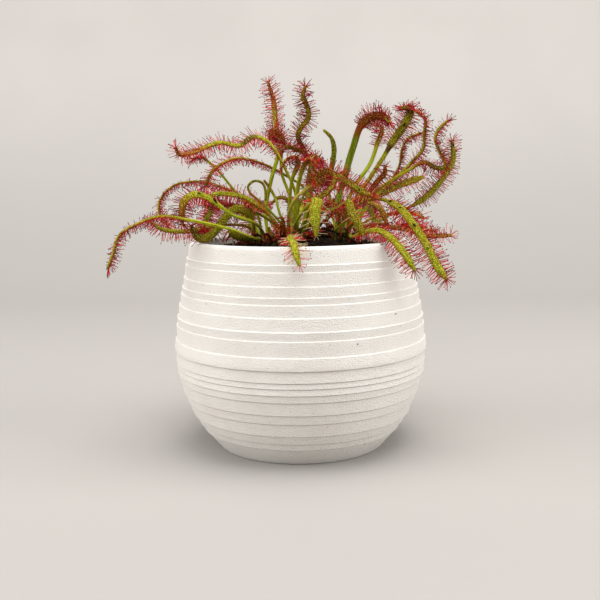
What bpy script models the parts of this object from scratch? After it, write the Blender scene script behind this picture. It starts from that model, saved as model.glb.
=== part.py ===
"""Potted sundew: a white round pot with turned steps, its soil, and the leaves of three rosettes.

Metres, +Z up. The origin is the middle of the pot's flat base, and -Y is the side that faces the viewer.
Every leaf is a solid of its own: a thin stalk that stands in a hole in the soil and widens to a strap-shaped
blade set with sticky tentacles.
"""

import math
import random
from dataclasses import dataclass

import bmesh
import bpy
import numpy as np
from mathutils import Matrix, Vector

MM = 0.001
SEAT_GAP = 0.3 * MM

# The pot, as radius and height in millimetres.
POT_HEIGHT = 73.5
POT_WIDEST = 45.0
POT_BASE_RADIUS = 30.0
POT_BODY = (
    (39.1, POT_HEIGHT),
    (41.2, 61.0),
    (43.9, 47.0),
    (POT_WIDEST, 36.0),
    (44.3, 27.0),
    (42.4, 20.0),
    (39.2, 12.2),
    (35.5, 6.5),
    (POT_BASE_RADIUS, 0.0),
)
UPPER_LEDGES = (67.9, 65.6, 61.2, 57.8, 55.5, 51.5, 47.2, 44.3, 39.2)
LOWER_LEDGES = (35.0, 31.1, 29.2, 27.0, 24.5, 20.0, 16.8, 12.2, 9.0, 6.5)
UPPER_DEPTH = 0.5
LOWER_DEPTH = 0.3
LEDGE_RISE = 0.1
WALL_HEIGHTS = (12.0, 24.0, 36.0, 50.0, 62.0)
WALL = 3.2
FLOOR = 4.0
LIP_ROUND = 1.2
LIP_SWELL = 0.1
BASE_ROUND = 0.6
TURN_STEPS = 32

# The soil: a low dome with a heap of old peat right of the middle.
SOIL_EDGE = 68.6
SOIL_CROWN = 72.3
SOIL_RINGS = (0.0, 9.5, 18.5, 27.5)
HEAP_PLACE = (11.0, 3.0)
HEAP_RISE = 4.4
HEAP_REACH = 14.0
HOLE_DEPTH = 4.0
HOLE_SIDES = 6
HOLE_CLEAR = 0.25

# The leaves, in millimetres.
ROOT_WIDTH = 0.8
STALK_WIDTH = 1.1
STALK_THICK = 0.95
BLADE_THICK = 0.8
WIDEN_LENGTH = 5.0
STALK_WIDEN = (5.0, 14.0)
TIP_TAPER = 4.5
TIP_WIDTH = 0.85
ROOT_STRAIGHT = 1.0
POINTS_PER_SPAN = 14
BEND_PER_STATION = math.radians(43.0)
LENGTH_PER_STATION = 16.0
WIDENING_PER_STATION = 1.0
SECTION_SIDES = 6
ROOT_SPREAD = 1.0
GOLDEN_ANGLE = math.radians(137.508)

# The tentacles, in millimetres.
TENTACLE_PITCH = 3.8
TENTACLE_ORDER = (1.0, -1.0, 1.0, -1.0, 0.0)
TENTACLE_RADIUS = 0.3
MARGIN_LENGTH = 3.3
FACE_LENGTH = 1.7
TIP_LENGTH = 3.0
TIP_FAN = (-0.8, 0.0, 0.8)
TENTACLE_SINK = 0.45
TENTACLE_CLEAR = 0.75
OWN_REACH = 4.0
POT_CLEAR = 0.9
SEED = 7

CROWNS = {"left": (-14.0, 0.5), "middle": (-2.0, -3.5), "right": (17.0, 3.0)}


@dataclass(frozen=True)
class Leaf:
    """A leaf: its rosette, its route above the soil in millimetres, where its blade starts along that
    route from 0 to 1, its blade's width in millimetres, and the way its sticky face looks at mid blade.
    The stalk is this wide above the soil, and the blade narrows over the taper's length to its tip."""

    name: str
    crown: str
    blade_from: float
    width: float
    face: tuple
    route: tuple
    stalk: float = STALK_WIDTH
    taper: float = TIP_TAPER


LEAVES = (
    Leaf("left_hook", "middle", 0.42, 2.0, (0, 1, -1.2),
         ((-1, -6, 89), (-4, -7, 97), (-10, -9, 107), (-15, -11, 109), (-20, -13, 106), (-26, -15, 107),
          (-33, -18, 104.5), (-37, -21, 103), (-39, -22, 103), (-40, -22.3, 105.5)), taper=7.0),
    Leaf("left_thin", "left", 0.86, 2.0, (0, -0.5, -1),
         ((-15, -1, 83), (-23, 2, 91), (-28, 4, 97), (-32, 5, 101), (-35, 6, 103), (-38, 5, 102)),
         stalk=0.9),
    Leaf("left_high", "middle", 0.50, 1.3, (0, 0.3, -1),
         ((-1, 10, 82), (2, 13, 91), (-3, 13, 95), (-15, 10, 101), (-23, 4, 102), (-30, -1, 98),
          (-33, -3, 92)), stalk=0.95),
    Leaf("left_bow", "left", 0.36, 1.3, (1, 0.2, -0.2),
         ((-22, 12, 89), (-29, 16, 92), (-35, 18, 94), (-41, 18, 94), (-46, 17, 93), (-50, 16, 90),
          (-52, 14, 86), (-51, 12, 81), (-48, 10, 78)), stalk=0.95),
    Leaf("left_low", "left", 0.48, 1.6, (0, 1, -0.6),
         ((-18, -3, 78), (-25, -4, 79), (-33, -5, 78), (-38, -5, 77), (-43, -6, 77), (-48, -7, 78),
          (-52, -8, 81)), stalk=0.95),
    Leaf("left_fold", "left", 0.36, 3.0, (0, 1, 0.6),
         ((-16, -9, 80), (-18, -13, 84), (-21, -15, 85), (-24, -16, 83), (-27, -17, 79), (-31, -19, 75.5),
          (-34, -20, 76), (-36, -20, 80)), taper=7.0),
    Leaf("left_rim", "left", 0.40, 2.8, (0, 1, 0.5),
         ((-18, -11, 74.5), (-21.5, -14, 75.5), (-24, -16, 77.5))),
    Leaf("left_claw", "left", 0.60, 2.7, (0.6, 1, -0.2),
         ((-15, -15, 80), (-22, -20, 83), (-26, -22, 86), (-30, -24, 89), (-34, -26, 90), (-37, -27, 88),
          (-38, -27, 84), (-38, -26, 80)), taper=8.0),
    Leaf("left_bright", "middle", 0.45, 2.0, (0, 1, -0.8),
         ((-8.5, -10, 80.5), (-14.5, -12, 86.3), (-18, -12.5, 88.4), (-21.5, -13, 89.5), (-27, -15, 90),
          (-31, -17, 89))),
    Leaf("left_small", "middle", 0.52, 1.9, (0, 0.5, 1),
         ((-7.5, -4.5, 78.2), (-11, -6, 81), (-15, -7, 83.4), (-20, -7, 85.3), (-24, -7, 86), (-28, -8, 85),
          (-31, -8, 85), (-33, -8, 87))),
    Leaf("left_trailing", "left", 0.55, 1.5, (0.8, 0.3, -0.8),
         ((-15.8, -13.5, 74.8), (-22.6, -23, 78.4), (-29, -27, 80.4), (-35.9, -29.2, 82),
          (-45, -26, 83), (-52, -24, 81), (-59, -24, 77),
          (-61, -26, 71), (-63, -26, 66)), stalk=1.0),
    Leaf("bare_loop", "middle", 0.60, 0.9, (0, -1, 0.3),
         ((-6.5, -2, 79.3), (-11.3, -1, 84.6), (-14.4, -1, 87.5), (-17.2, -1, 90), (-17.9, -1, 92.1),
          (-16, 0, 94), (-13.7, 1, 93.9), (-12.3, 2, 92.5), (-11.8, 2, 89.8), (-11.9, 2, 87)), stalk=0.9),
    Leaf("bare_stalk", "middle", 0.70, 1.1, (0, -1, 0),
         ((-7, 1, 83), (-8, 2, 87), (-10, 3.5, 91), (-12.5, 4.5, 94.5)), stalk=0.95),
    Leaf("tall_spire", "left", 0.62, 2.2, (-0.5, -1, 0),
         ((-12, 5, 84), (-10, 6, 94), (-7, 7, 105), (-8, 13, 113), (-9, 20, 124), (-11, 22, 131)),
         stalk=1.6, taper=14.0),
    Leaf("curled_fist", "middle", 0.72, 2.8, (0, -1, 0.3),
         ((-3, 2, 88), (-6, 4, 97), (-6, 4, 105), (-6, 2, 109), (-9, 0, 111), (-10, -2, 108))),
    Leaf("bridge", "middle", 0.62, 1.9, (0, 0.6, 1),
         ((3.5, 2, 82), (5, 5, 92), (6, 7, 99), (4, 6, 102.5), (1, 4, 104.5), (-2, 1, 105.5),
          (-5, -2, 106.5))),
    Leaf("tall_wave", "middle", 0.60, 2.0, (-0.6, -1, 0),
         ((4, 7, 84), (5, 12, 95), (3, 14, 104), (0, 14, 110), (1, 13, 113), (4, 12, 117), (3, 11, 122),
          (2, 11, 124), (3, 10, 128)), taper=6.0),
    Leaf("small_arch", "middle", 0.66, 1.9, (0, -0.5, -1),
         ((-3, -9, 89), (-2, -11, 95), (0, -12, 100), (-1, -13, 102), (-4, -14, 101), (-6, -15, 98))),
    Leaf("front_tall", "middle", 0.78, 2.6, (0.5, -0.5, 1),
         ((-1, -12, 82), (0, -15, 93), (2, -17, 99), (4, -19, 101), (6, -20, 99)), stalk=1.7),
    Leaf("front_dark", "middle", 0.72, 2.4, (0, -1, 1),
         ((3, 0, 85), (5, 1, 93), (8, 1, 98), (7, -1, 101), (5, -4, 102), (2, -6, 101))),
    Leaf("front_broad", "middle", 0.45, 2.8, (0, 1, 0),
         ((3, -8, 84), (4, -9, 94), (5, -11, 99), (6, -13, 102), (8, -15, 100))),
    Leaf("green_horn", "right", 0.50, 2.0, (0.3, 1, 0),
         ((12, 8, 84), (11, 9, 91), (12, 9, 98), (13, 8, 105), (12, 6, 109), (9, 4, 112)), taper=12.0),
    Leaf("crook", "right", 0.74, 3.3, (0.48, 0.64, 0.6),
         ((14, 6, 85), (17, 8, 96), (20, 8, 106), (22.5, 6, 113), (26, 3, 116), (30, 0, 116), (32, -3, 114)),
         stalk=2.4),
    Leaf("under_crook", "right", 0.80, 1.9, (-0.7, -1, 0),
         ((17, 3, 85), (21, 4, 93), (26, 6, 100), (29, 8, 108), (30.5, 9, 112), (29, 10, 114)), stalk=1.5),
    Leaf("right_folded", "right", 0.66, 2.9, (0.2, 1, 0),
         ((20, 12, 85), (26, 14, 94), (32, 15, 103), (35, 15, 108), (38.5, 13, 113), (41, 11, 118.5),
          (39.5, 9, 120), (37, 7, 119.5)), stalk=1.7, taper=3.0),
    Leaf("right_ear", "right", 0.42, 1.6, (1, 0.2, 0),
         ((26, 8, 86), (35, 9, 94), (41, 8, 100), (45, 6, 105), (45, 4, 110), (45, 2, 115), (41, 0, 118))),
    Leaf("right_hoop", "right", 0.45, 1.5, (1, 0, -0.3),
         ((26, 14, 85), (35, 18, 94), (38, 19, 99), (39, 19, 105), (41, 18, 109), (46, 16, 111))),
    Leaf("right_zigzag", "right", 0.58, 1.8, (1, 0, 0.5),
         ((21, 4, 85), (29, 4, 91), (39, 4, 97), (45, 3, 100), (49, 2, 98), (52, 1, 98), (52, 0, 100),
          (50, -1, 103), (48, -2, 108), (49, -3, 111), (52, -4, 114))),
    Leaf("right_sickle", "right", 0.52, 2.5, (-0.3, 0.9, 0.2),
         ((26, 6, 77.5), (33, 10, 81), (39, 12, 83), (45, 13, 86), (50, 14, 90), (54, 14, 95), (57, 13, 101),
          (56, 10, 108)), taper=12.0),
    Leaf("right_back", "right", 0.45, 2.8, (0, -1, 0.2),
         ((20, 18, 83), (26, 22, 87), (32, 24, 89), (39, 27, 92), (49, 31, 95))),
    Leaf("right_tuft", "right", 0.62, 1.9, (0, -1, 0.3),
         ((19, -1, 84), (25, -3, 90), (28, -4, 94), (30, -5, 96), (30, -6, 99))),
    Leaf("front_dotted", "middle", 0.52, 2.9, (0.2, 1, -0.4),
         ((-3.4, -12.5, 83.2), (-0.6, -17.5, 88.6), (4, -20, 91.9), (7.8, -20, 93.8), (11.5, -19, 95.6),
          (15.5, -17.5, 93.8), (19, -17, 91.5), (22, -17, 89.8), (25, -17.5, 88.4))),
    Leaf("right_long", "right", 0.49, 2.7, (0.2, 1, -0.4),
         ((19.5, -5, 79.5), (19.5, -10.5, 84.5), (22.5, -13, 86.8), (26.5, -15, 87.6), (30, -18, 86.8),
          (33.4, -22, 84.6), (37, -28, 79.6), (40.6, -32, 73.4), (44, -34, 66.4), (47, -35, 62)),
         stalk=1.2),
    Leaf("right_rim", "right", 0.45, 2.6, (-0.3, 1, -0.3),
         ((18, -17, 75), (22, -22, 77), (26, -25, 77.5), (30, -29, 75), (34, -32, 70), (37, -33, 65))),
    Leaf("right_strap", "middle", 0.50, 2.8, (0, 1, 0),
         ((4, -13, 79), (7, -17, 83), (13, -22, 85), (16, -26, 87), (17, -28, 84), (19, -29, 80),
          (21, -28, 76))),
    Leaf("right_curl", "right", 0.40, 2.4, (-0.3, 0.9, -0.7),
         ((16, -4, 82), (18, -6, 86), (21, -8, 88), (25, -11, 86), (28, -13, 84), (30, -14, 79))),
    Leaf("front_curl", "middle", 0.46, 2.3, (-1, -0.4, 0),
         ((2.8, -14.5, 82), (3.8, -20, 86), (5.6, -24, 88), (8.5, -27, 89.7), (11, -29, 92.2),
          (11.7, -29, 94.7), (10.5, -28, 96.7), (8.3, -27, 96.9), (6, -27, 95.4), (4.7, -28, 93.5))),
    Leaf("front_strap", "middle", 0.66, 3.9, (0, 1, 0),
         ((-0.8, -16.5, 80.5), (1.6, -22, 84.4), (4, -26, 86.8), (5.4, -30, 88.2), (5.8, -33, 87.2),
          (5.1, -34, 85.1), (5.1, -34.5, 82.3), (5.2, -34, 79.1), (5.4, -33, 76.2)), taper=9.0),
    Leaf("front_tongue", "middle", 0.55, 2.3, (0, 1, -0.3),
         ((-3, -25, 76), (-3, -34, 76), (-2, -40, 75), (-1, -43, 71.5), (0, -44, 68))),
    Leaf("right_end", "right", 0.72, 2.6, (0, -0.3, 1),
         ((24, 3, 79), (29, 5, 81), (36, 4, 82), (41, 3, 82), (45, 0, 80))),
    Leaf("right_brown", "right", 0.45, 2.3, (0, -0.7, 1),
         ((23, -8, 78), (28, -10, 79), (31, -12, 78), (37, -14, 77), (44, -15, 75), (52, -15, 75))),
    Leaf("right_red", "right", 0.60, 1.9, (0, -0.7, 1),
         ((24, -1, 76), (31, -2, 77), (37, -3, 78), (42, -4, 77), (48, -5, 76))),
    Leaf("right_young", "right", 0.60, 2.2, (0, -1, 0),
         ((13, -10, 77), (16, -12, 81), (14, -13, 84), (11, -13, 83), (9, -13, 80))),
    Leaf("heart_curl", "right", 0.58, 2.2, (0, -1, 0.4),
         ((14, -4, 78), (14, -6, 83), (11, -8, 86), (8, -8, 84), (7, -8, 81))),
    Leaf("inner_curl", "middle", 0.55, 2.0, (0, -0.5, 1),
         ((-2.7, 4.6, 79), (-3.2, 8, 83), (-4, 9, 87), (-7, 9, 88), (-10, 9, 86))),
    Leaf("sprout_red", "middle", 0.35, 2.2, (0, -1, 0),
         ((-5.5, -14, 76), (-5.5, -16.5, 79), (-5.5, -18, 82))),
    Leaf("sprout_green", "middle", 0.35, 2.0, (0, -1, 0),
         ((-9.5, -10.5, 75.5), (-10.5, -13, 78.5))),
    Leaf("back_left", "left", 0.45, 2.4, (0, 1, 1),
         ((-18, 12, 79), (-26, 22, 84), (-32, 32, 85), (-37, 41, 80), (-40, 47, 73))),
    Leaf("back_middle_left", "middle", 0.48, 2.3, (0, 1, 1),
         ((-10, 10, 78.5), (-12, 22, 84), (-16, 33, 85), (-19, 42, 80), (-20, 47, 73))),
    Leaf("back_middle", "middle", 0.48, 2.4, (0, 1, 1),
         ((0, 14, 79), (1, 25, 84), (1, 35, 86), (0, 44, 83), (-2, 50, 76))),
    Leaf("back_middle_right", "right", 0.46, 2.3, (0, 1, 1),
         ((13, 14, 79), (13, 24, 84), (14, 34, 86), (17, 43, 83), (20, 49, 76))),
    Leaf("back_right", "right", 0.46, 2.4, (0, 1, 1),
         ((20, 16, 79), (24, 26, 83), (28, 36, 83), (31, 44, 78), (33, 49, 71))),
)

BARE = ("bare_loop", "bare_stalk", "green_horn")

POT_WHITE = ((0.93, 0.91, 0.88), 0.75)
SOIL_BROWN = ((0.045, 0.032, 0.022), 0.95)
LEAF_GREEN = ((0.30, 0.36, 0.05), 0.45)


def clear_scene():
    """Removes every object that the scene starts with."""
    for obj in list(bpy.data.objects):
        bpy.data.objects.remove(obj, do_unlink=True)


def finish(obj, name, look):
    """Gives the object its own material, from a colour and a roughness."""
    colour, roughness = look
    material = bpy.data.materials.new(name)
    material.use_nodes = True
    shader = material.node_tree.nodes["Principled BSDF"]
    shader.inputs["Base Color"].default_value = (*colour, 1.0)
    shader.inputs["Roughness"].default_value = roughness
    shader.inputs["Metallic"].default_value = 0.0
    obj.data.materials.append(material)


def new_object(name, mesh, collection):
    """Links a new object for the mesh into the collection."""
    obj = bpy.data.objects.new(name, mesh)
    collection.objects.link(obj)
    return obj


def apply_modifiers(obj):
    """Replaces the object's mesh with its evaluated one and drops the modifiers."""
    graph = bpy.context.evaluated_depsgraph_get()
    mesh = bpy.data.meshes.new_from_object(obj.evaluated_get(graph))
    obj.modifiers.clear()
    obj.data = mesh


def turned(name, profile, collection):
    """Turns an open profile of (radius, height) points, in millimetres, about the Z axis."""
    mesh = bpy.data.meshes.new(name)
    points = [(radius * MM, 0.0, height * MM) for radius, height in profile]
    mesh.from_pydata(points, [(i, i + 1) for i in range(len(points) - 1)], [])
    obj = new_object(name, mesh, collection)
    screw = obj.modifiers.new("turn", "SCREW")
    screw.axis = "Z"
    screw.angle = math.tau
    screw.steps = TURN_STEPS
    screw.render_steps = TURN_STEPS
    screw.use_merge_vertices = True
    screw.merge_threshold = 0.00001
    apply_modifiers(obj)
    obj.data.shade_smooth()
    obj.data.set_sharp_from_angle(angle=math.radians(30.0))
    return obj


def body_radius(height):
    """The pot's outer radius at a height, before the ledges are cut, in millimetres."""
    heights = [point[1] for point in reversed(POT_BODY)]
    radii = [point[0] for point in reversed(POT_BODY)]
    return float(np.interp(height, heights, radii))


def ledge_points():
    """The outer profile's ledges, top to bottom: they step out above the widest place and in below it."""
    points = []
    for height in UPPER_LEDGES:
        radius = body_radius(height)
        points += [(radius - UPPER_DEPTH / 2, height), (radius + UPPER_DEPTH / 2, height - LEDGE_RISE)]
    for height in LOWER_LEDGES:
        radius = body_radius(height)
        points += [(radius + LOWER_DEPTH / 2, height), (radius - LOWER_DEPTH / 2, height - LEDGE_RISE)]
    return points


def inner_points(inset):
    """The inside of the pot's wall, from the floor up to just under the lip, set in by some millimetres."""
    low_radius = body_radius(FLOOR) - 1.5 * WALL - inset
    points = [(0.0, FLOOR + inset), (low_radius, FLOOR + inset)]
    points += [(body_radius(height) - WALL - inset, height) for height in WALL_HEIGHTS]
    return points


def make_pot(collection):
    """The pot: stepped outside, rounded lip, plain wall inside and a flat base."""
    top = POT_BODY[0][0]
    lip_inner = top - WALL
    lip = [
        (lip_inner, POT_HEIGHT - LIP_ROUND),
        (lip_inner + LIP_ROUND * 0.35, POT_HEIGHT - LIP_ROUND * 0.25),
        (lip_inner + LIP_ROUND, POT_HEIGHT),
        (top - LIP_ROUND * 0.7, POT_HEIGHT - LIP_SWELL),
        (top - LIP_SWELL, POT_HEIGHT - LIP_ROUND * 0.8),
        (top + LIP_SWELL, POT_HEIGHT - LIP_ROUND * 1.7),
    ]
    base = [(POT_BASE_RADIUS, BASE_ROUND), (POT_BASE_RADIUS - BASE_ROUND, 0.0), (0.0, 0.0)]
    pot = turned("pot", inner_points(0.0) + lip + ledge_points() + base, collection)
    finish(pot, "pot", POT_WHITE)
    return pot


def soil_height(x, y):
    """The height of the soil's top at a place, in millimetres: the dome and the heap, level at the wall."""
    edge = body_radius(SOIL_EDGE) - WALL
    inside = 1.0 - (x * x + y * y) / edge ** 2
    apart = (x - HEAP_PLACE[0]) ** 2 + (y - HEAP_PLACE[1]) ** 2
    heap = HEAP_RISE * math.exp(-apart / HEAP_REACH ** 2)
    return SOIL_EDGE + (SOIL_CROWN - SOIL_EDGE + heap) * inside


def make_soil(collection, roots):
    """The soil, which fills the pot, with a plain hole under each leaf."""
    gap = SEAT_GAP / MM
    edge = body_radius(SOIL_EDGE) - WALL - gap
    tops = [(radius, SOIL_CROWN) for radius in SOIL_RINGS]
    sides = [(radius, height) for radius, height in reversed(inner_points(gap))]
    soil = turned("soil", tops + [(edge, SOIL_EDGE)] + sides, collection)
    for vertex in soil.data.vertices:
        if vertex.co.z > (SOIL_EDGE + SOIL_CROWN) / 2 * MM:
            vertex.co.z = soil_height(vertex.co.x / MM, vertex.co.y / MM) * MM
    holes = bpy.data.collections.new("root_holes")
    bpy.context.scene.collection.children.link(holes)
    for x, y in roots:
        drill(holes, x, y)
    join_all(soil, holes, "DIFFERENCE")
    finish(soil, "soil", SOIL_BROWN)
    return soil


def drill(holes, x, y):
    """Adds the cutter of one upright root hole."""
    radius = (ROOT_WIDTH / 2 + HOLE_CLEAR) / math.cos(math.pi / HOLE_SIDES)
    shape = bmesh.new()
    bmesh.ops.create_cone(shape, cap_ends=True, segments=HOLE_SIDES, radius1=radius * MM,
                          radius2=radius * MM, depth=2 * HOLE_DEPTH * MM)
    bmesh.ops.translate(shape, verts=shape.verts, vec=Vector((x, y, root_floor(x, y) + HOLE_DEPTH)) * MM)
    mesh = bpy.data.meshes.new("hole")
    shape.to_mesh(mesh)
    shape.free()
    cutter = new_object("hole", mesh, holes)
    cutter.hide_render = True
    cutter.display_type = "WIRE"


def root_floor(x, y):
    """The height of a root hole's floor in millimetres."""
    return soil_height(x, y) - HOLE_DEPTH


def join_all(obj, collection, operation, solver="EXACT"):
    """Applies one Boolean with every object of the collection, then removes them."""
    step = obj.modifiers.new("join", "BOOLEAN")
    step.operand_type = "COLLECTION"
    step.collection = collection
    step.operation = operation
    step.solver = solver
    apply_modifiers(obj)
    for other in list(collection.objects):
        bpy.data.objects.remove(other, do_unlink=True)
    bpy.data.collections.remove(collection)


def crown_places(count):
    """Root places round a crown's middle: a sunflower spiral, in millimetres."""
    steps = np.arange(count)
    radii = ROOT_SPREAD * np.sqrt(steps + 0.4)
    angles = steps * GOLDEN_ANGLE
    return np.stack([radii * np.cos(angles), radii * np.sin(angles)], axis=1)


def settle_roots():
    """Gives each leaf a root place of its crown, so that leaves leaning one way stand on that side."""
    roots = {}
    for crown, middle in CROWNS.items():
        leaves = [leaf for leaf in LEAVES if leaf.crown == crown]
        places = crown_places(len(leaves))
        lean = np.array([leaf.route[0][:2] for leaf in leaves]) - np.array(middle)
        order = list(range(len(leaves)))
        improved = True
        while improved:
            improved = False
            for i in range(len(order)):
                for j in range(i + 1, len(order)):
                    gain = (lean[i] - lean[j]) @ (places[order[j]] - places[order[i]])
                    if gain > 1e-9:
                        order[i], order[j] = order[j], order[i]
                        improved = True
        for leaf, place in zip(leaves, order):
            roots[leaf.name] = tuple(np.array(middle) + places[place])
    return roots


def smooth_route(leaf, root):
    """A smooth dense line through the leaf's points, from its seat in the soil to its tip, in millimetres."""
    x, y = root
    seat = root_floor(x, y) + SEAT_GAP / MM
    collar = soil_height(x, y) + ROOT_STRAIGHT
    upright = [(x, y, seat), (x, y, (seat + collar) / 2), (x, y, collar)]
    points = np.array(upright + list(leaf.route), dtype=float)
    ends = np.vstack([2 * points[0] - points[1], points, 2 * points[-1] - points[-2]])
    line = [points[0]]
    for p0, p1, p2, p3 in zip(ends, ends[1:], ends[2:], ends[3:]):
        line += catmull(p0, p1, p2, p3, POINTS_PER_SPAN)
    return np.array(line)


def catmull(p0, p1, p2, p3, count):
    """Points of a centripetal spline from p1, left out, to p2."""
    times = [0.0]
    for a, b in ((p0, p1), (p1, p2), (p2, p3)):
        times.append(times[-1] + np.linalg.norm(b - a) ** 0.5)
    t0, t1, t2, t3 = times
    found = []
    for t in np.linspace(t1, t2, count + 1)[1:]:
        a1 = (t1 - t) / (t1 - t0) * p0 + (t - t0) / (t1 - t0) * p1
        a2 = (t2 - t) / (t2 - t1) * p1 + (t - t1) / (t2 - t1) * p2
        a3 = (t3 - t) / (t3 - t2) * p2 + (t - t2) / (t3 - t2) * p3
        b1 = (t2 - t) / (t2 - t0) * a1 + (t - t0) / (t2 - t0) * a2
        b2 = (t3 - t) / (t3 - t1) * a2 + (t - t1) / (t3 - t1) * a3
        found.append((t2 - t) / (t2 - t1) * b1 + (t - t1) / (t2 - t1) * b2)
    return found


@dataclass
class Line:
    """A leaf's middle line: points, distance along it, unit tangent, face normal and half width."""

    points: np.ndarray
    along: np.ndarray
    tangent: np.ndarray
    normal: np.ndarray
    half: np.ndarray
    blade_start: float

    def at(self, distance):
        """Point, tangent, normal and half width at a distance along the line."""
        columns = [self.points, self.tangent, self.normal, self.half[:, None]]
        table = np.hstack(columns)
        row = [np.interp(distance, self.along, column) for column in table.T]
        tangent = np.array(row[3:6]) / np.linalg.norm(row[3:6])
        normal = np.array(row[6:9]) - tangent * (np.array(row[6:9]) @ tangent)
        return np.array(row[0:3]), tangent, normal / np.linalg.norm(normal), row[9]

    def picked(self, indices):
        """The same line with only some of its points."""
        rows = [array[indices] for array in (self.points, self.along, self.tangent, self.normal, self.half)]
        return Line(*rows, self.blade_start)


def middle_line(leaf, root):
    """Works out the leaf's line, with its face turned as the leaf says at mid blade."""
    points = smooth_route(leaf, root)
    steps = np.linalg.norm(np.diff(points, axis=0), axis=1)
    along = np.concatenate([[0.0], np.cumsum(steps)])
    tangent = np.gradient(points, along, axis=0)
    tangent /= np.linalg.norm(tangent, axis=1)[:, None]
    start = int(np.searchsorted(along, leaf.blade_from * along[-1]))
    middle = int(np.searchsorted(along, (leaf.blade_from + 1.0) / 2 * along[-1]))
    normal = np.zeros_like(points)
    normal[middle] = across(np.array(leaf.face, dtype=float), tangent[middle])
    for i in range(middle + 1, len(points)):
        normal[i] = across(normal[i - 1], tangent[i])
    for i in range(middle - 1, -1, -1):
        normal[i] = across(normal[i + 1], tangent[i])
    return Line(points, along, tangent, normal, half_width(leaf, along, along[start]), along[start])


def across(vector, tangent):
    """The unit part of the vector that lies square to the tangent."""
    rest = vector - tangent * (vector @ tangent)
    return rest / np.linalg.norm(rest)


def half_width(leaf, along, blade_start):
    """Half the leaf's width: thin in its hole, then the stalk, then the blade, which tapers to its tip."""
    stalk = ROOT_WIDTH + (leaf.stalk - ROOT_WIDTH) * eased(along, *STALK_WIDEN)
    blade = eased(along, blade_start - 0.4 * WIDEN_LENGTH, blade_start + 0.6 * WIDEN_LENGTH)
    width = stalk + (leaf.width - stalk) * blade
    tip = np.sin(np.clip((along[-1] - along) / leaf.taper, 0.0, 1.0) * math.pi / 2)
    return (TIP_WIDTH + (width - TIP_WIDTH) * tip) / 2


def eased(values, start, end):
    """A smooth rise from 0 at the start to 1 at the end."""
    share = np.clip((values - start) / (end - start), 0.0, 1.0)
    return share * share * (3.0 - 2.0 * share)


def stations(line):
    """Indices of the points where the leaf's sections stand: closer together where it bends or widens."""
    turn = np.arccos(np.clip(np.sum(line.tangent[1:] * line.tangent[:-1], axis=1), -1.0, 1.0))
    effort = turn / BEND_PER_STATION + np.diff(line.along) / LENGTH_PER_STATION
    effort += np.abs(np.diff(line.half)) / WIDENING_PER_STATION
    total = np.concatenate([[0.0], np.cumsum(effort)])
    count = max(5, math.ceil(total[-1]))
    places = np.linspace(0.0, total[-1], count + 1)
    return sorted({int(np.argmin(np.abs(total - place))) for place in places})


def section(line, index):
    """The six corners of the leaf's section at a point: flattened, with its broad sides to the face."""
    side = np.cross(line.tangent[index], line.normal[index])
    half = line.half[index]
    blade = np.clip((half * 2 - STALK_WIDTH) / 1.0, 0.0, 1.0)
    thick = min(STALK_THICK + (BLADE_THICK - STALK_THICK) * blade, 2 * half) / 2
    corners = []
    for k in range(SECTION_SIDES):
        angle = math.tau * k / SECTION_SIDES
        lift = math.copysign(1.0, math.sin(angle)) if abs(math.sin(angle)) > 0.1 else 0.0
        reach = math.cos(angle) * half
        corners.append(line.points[index] + side * reach + line.normal[index] * thick * lift)
    return corners


def leaf_body(leaf, line, collection):
    """Lofts the stalk and blade through their sections, closed at both ends."""
    rings = [section(line, index) for index in stations(line)]
    verts = [tuple(corner * MM) for ring in rings for corner in ring]
    faces = []
    for r in range(len(rings) - 1):
        for k in range(SECTION_SIDES):
            a = r * SECTION_SIDES + k
            b = r * SECTION_SIDES + (k + 1) % SECTION_SIDES
            faces.append((a, b, b + SECTION_SIDES, a + SECTION_SIDES))
    faces.append(tuple(reversed(range(SECTION_SIDES))))
    faces.append(tuple(range(len(verts) - SECTION_SIDES, len(verts))))
    mesh = bpy.data.meshes.new(leaf.name)
    mesh.from_pydata(verts, [], faces)
    shape = bmesh.new()
    shape.from_mesh(mesh)
    bmesh.ops.recalc_face_normals(shape, faces=shape.faces)
    shape.to_mesh(mesh)
    shape.free()
    obj = new_object("leaf_" + leaf.name, mesh, collection)
    obj.data.shade_smooth()
    obj.data.set_sharp_from_angle(angle=math.radians(50.0))
    return obj


def wanted_tentacles(line, draw):
    """Root, direction and length of each tentacle a blade with this line would carry, in millimetres."""
    found = []
    end = line.along[-1]
    distance = line.blade_start + 1.0
    turn = 0
    while distance < end - 1.0:
        point, tangent, normal, half = line.at(distance)
        side = np.cross(tangent, normal)
        way = TENTACLE_ORDER[turn % len(TENTACLE_ORDER)]
        if way:
            lean = side * way + normal * draw.uniform(0.1, 0.5) + tangent * draw.uniform(-0.1, 0.35)
            root = point + side * way * max(half - TENTACLE_SINK, 0.1)
            found.append((root, unit(lean), MARGIN_LENGTH + TENTACLE_SINK))
        else:
            lean = normal + side * draw.uniform(-0.4, 0.4) + tangent * draw.uniform(-0.2, 0.4)
            found.append((point, unit(lean), FACE_LENGTH + TENTACLE_SINK))
        distance += TENTACLE_PITCH * draw.uniform(0.85, 1.15)
        turn += 1
    point, tangent, normal, half = line.at(end - 0.5)
    side = np.cross(tangent, normal)
    for spread in TIP_FAN:
        found.append((point, unit(tangent + side * spread + normal * 0.3), TIP_LENGTH + TENTACLE_SINK))
    return found


def unit(vector):
    """The vector at length one."""
    return vector / np.linalg.norm(vector)


def in_pot(points):
    """Whether any of the points, in millimetres, comes into the pot or the soil."""
    radius = np.hypot(points[:, 0], points[:, 1])
    height = points[:, 2]
    outer = np.array([body_radius(min(value, POT_HEIGHT)) for value in height])
    return bool(np.any((radius < outer + POT_CLEAR) & (height < POT_HEIGHT + POT_CLEAR)))


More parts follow.
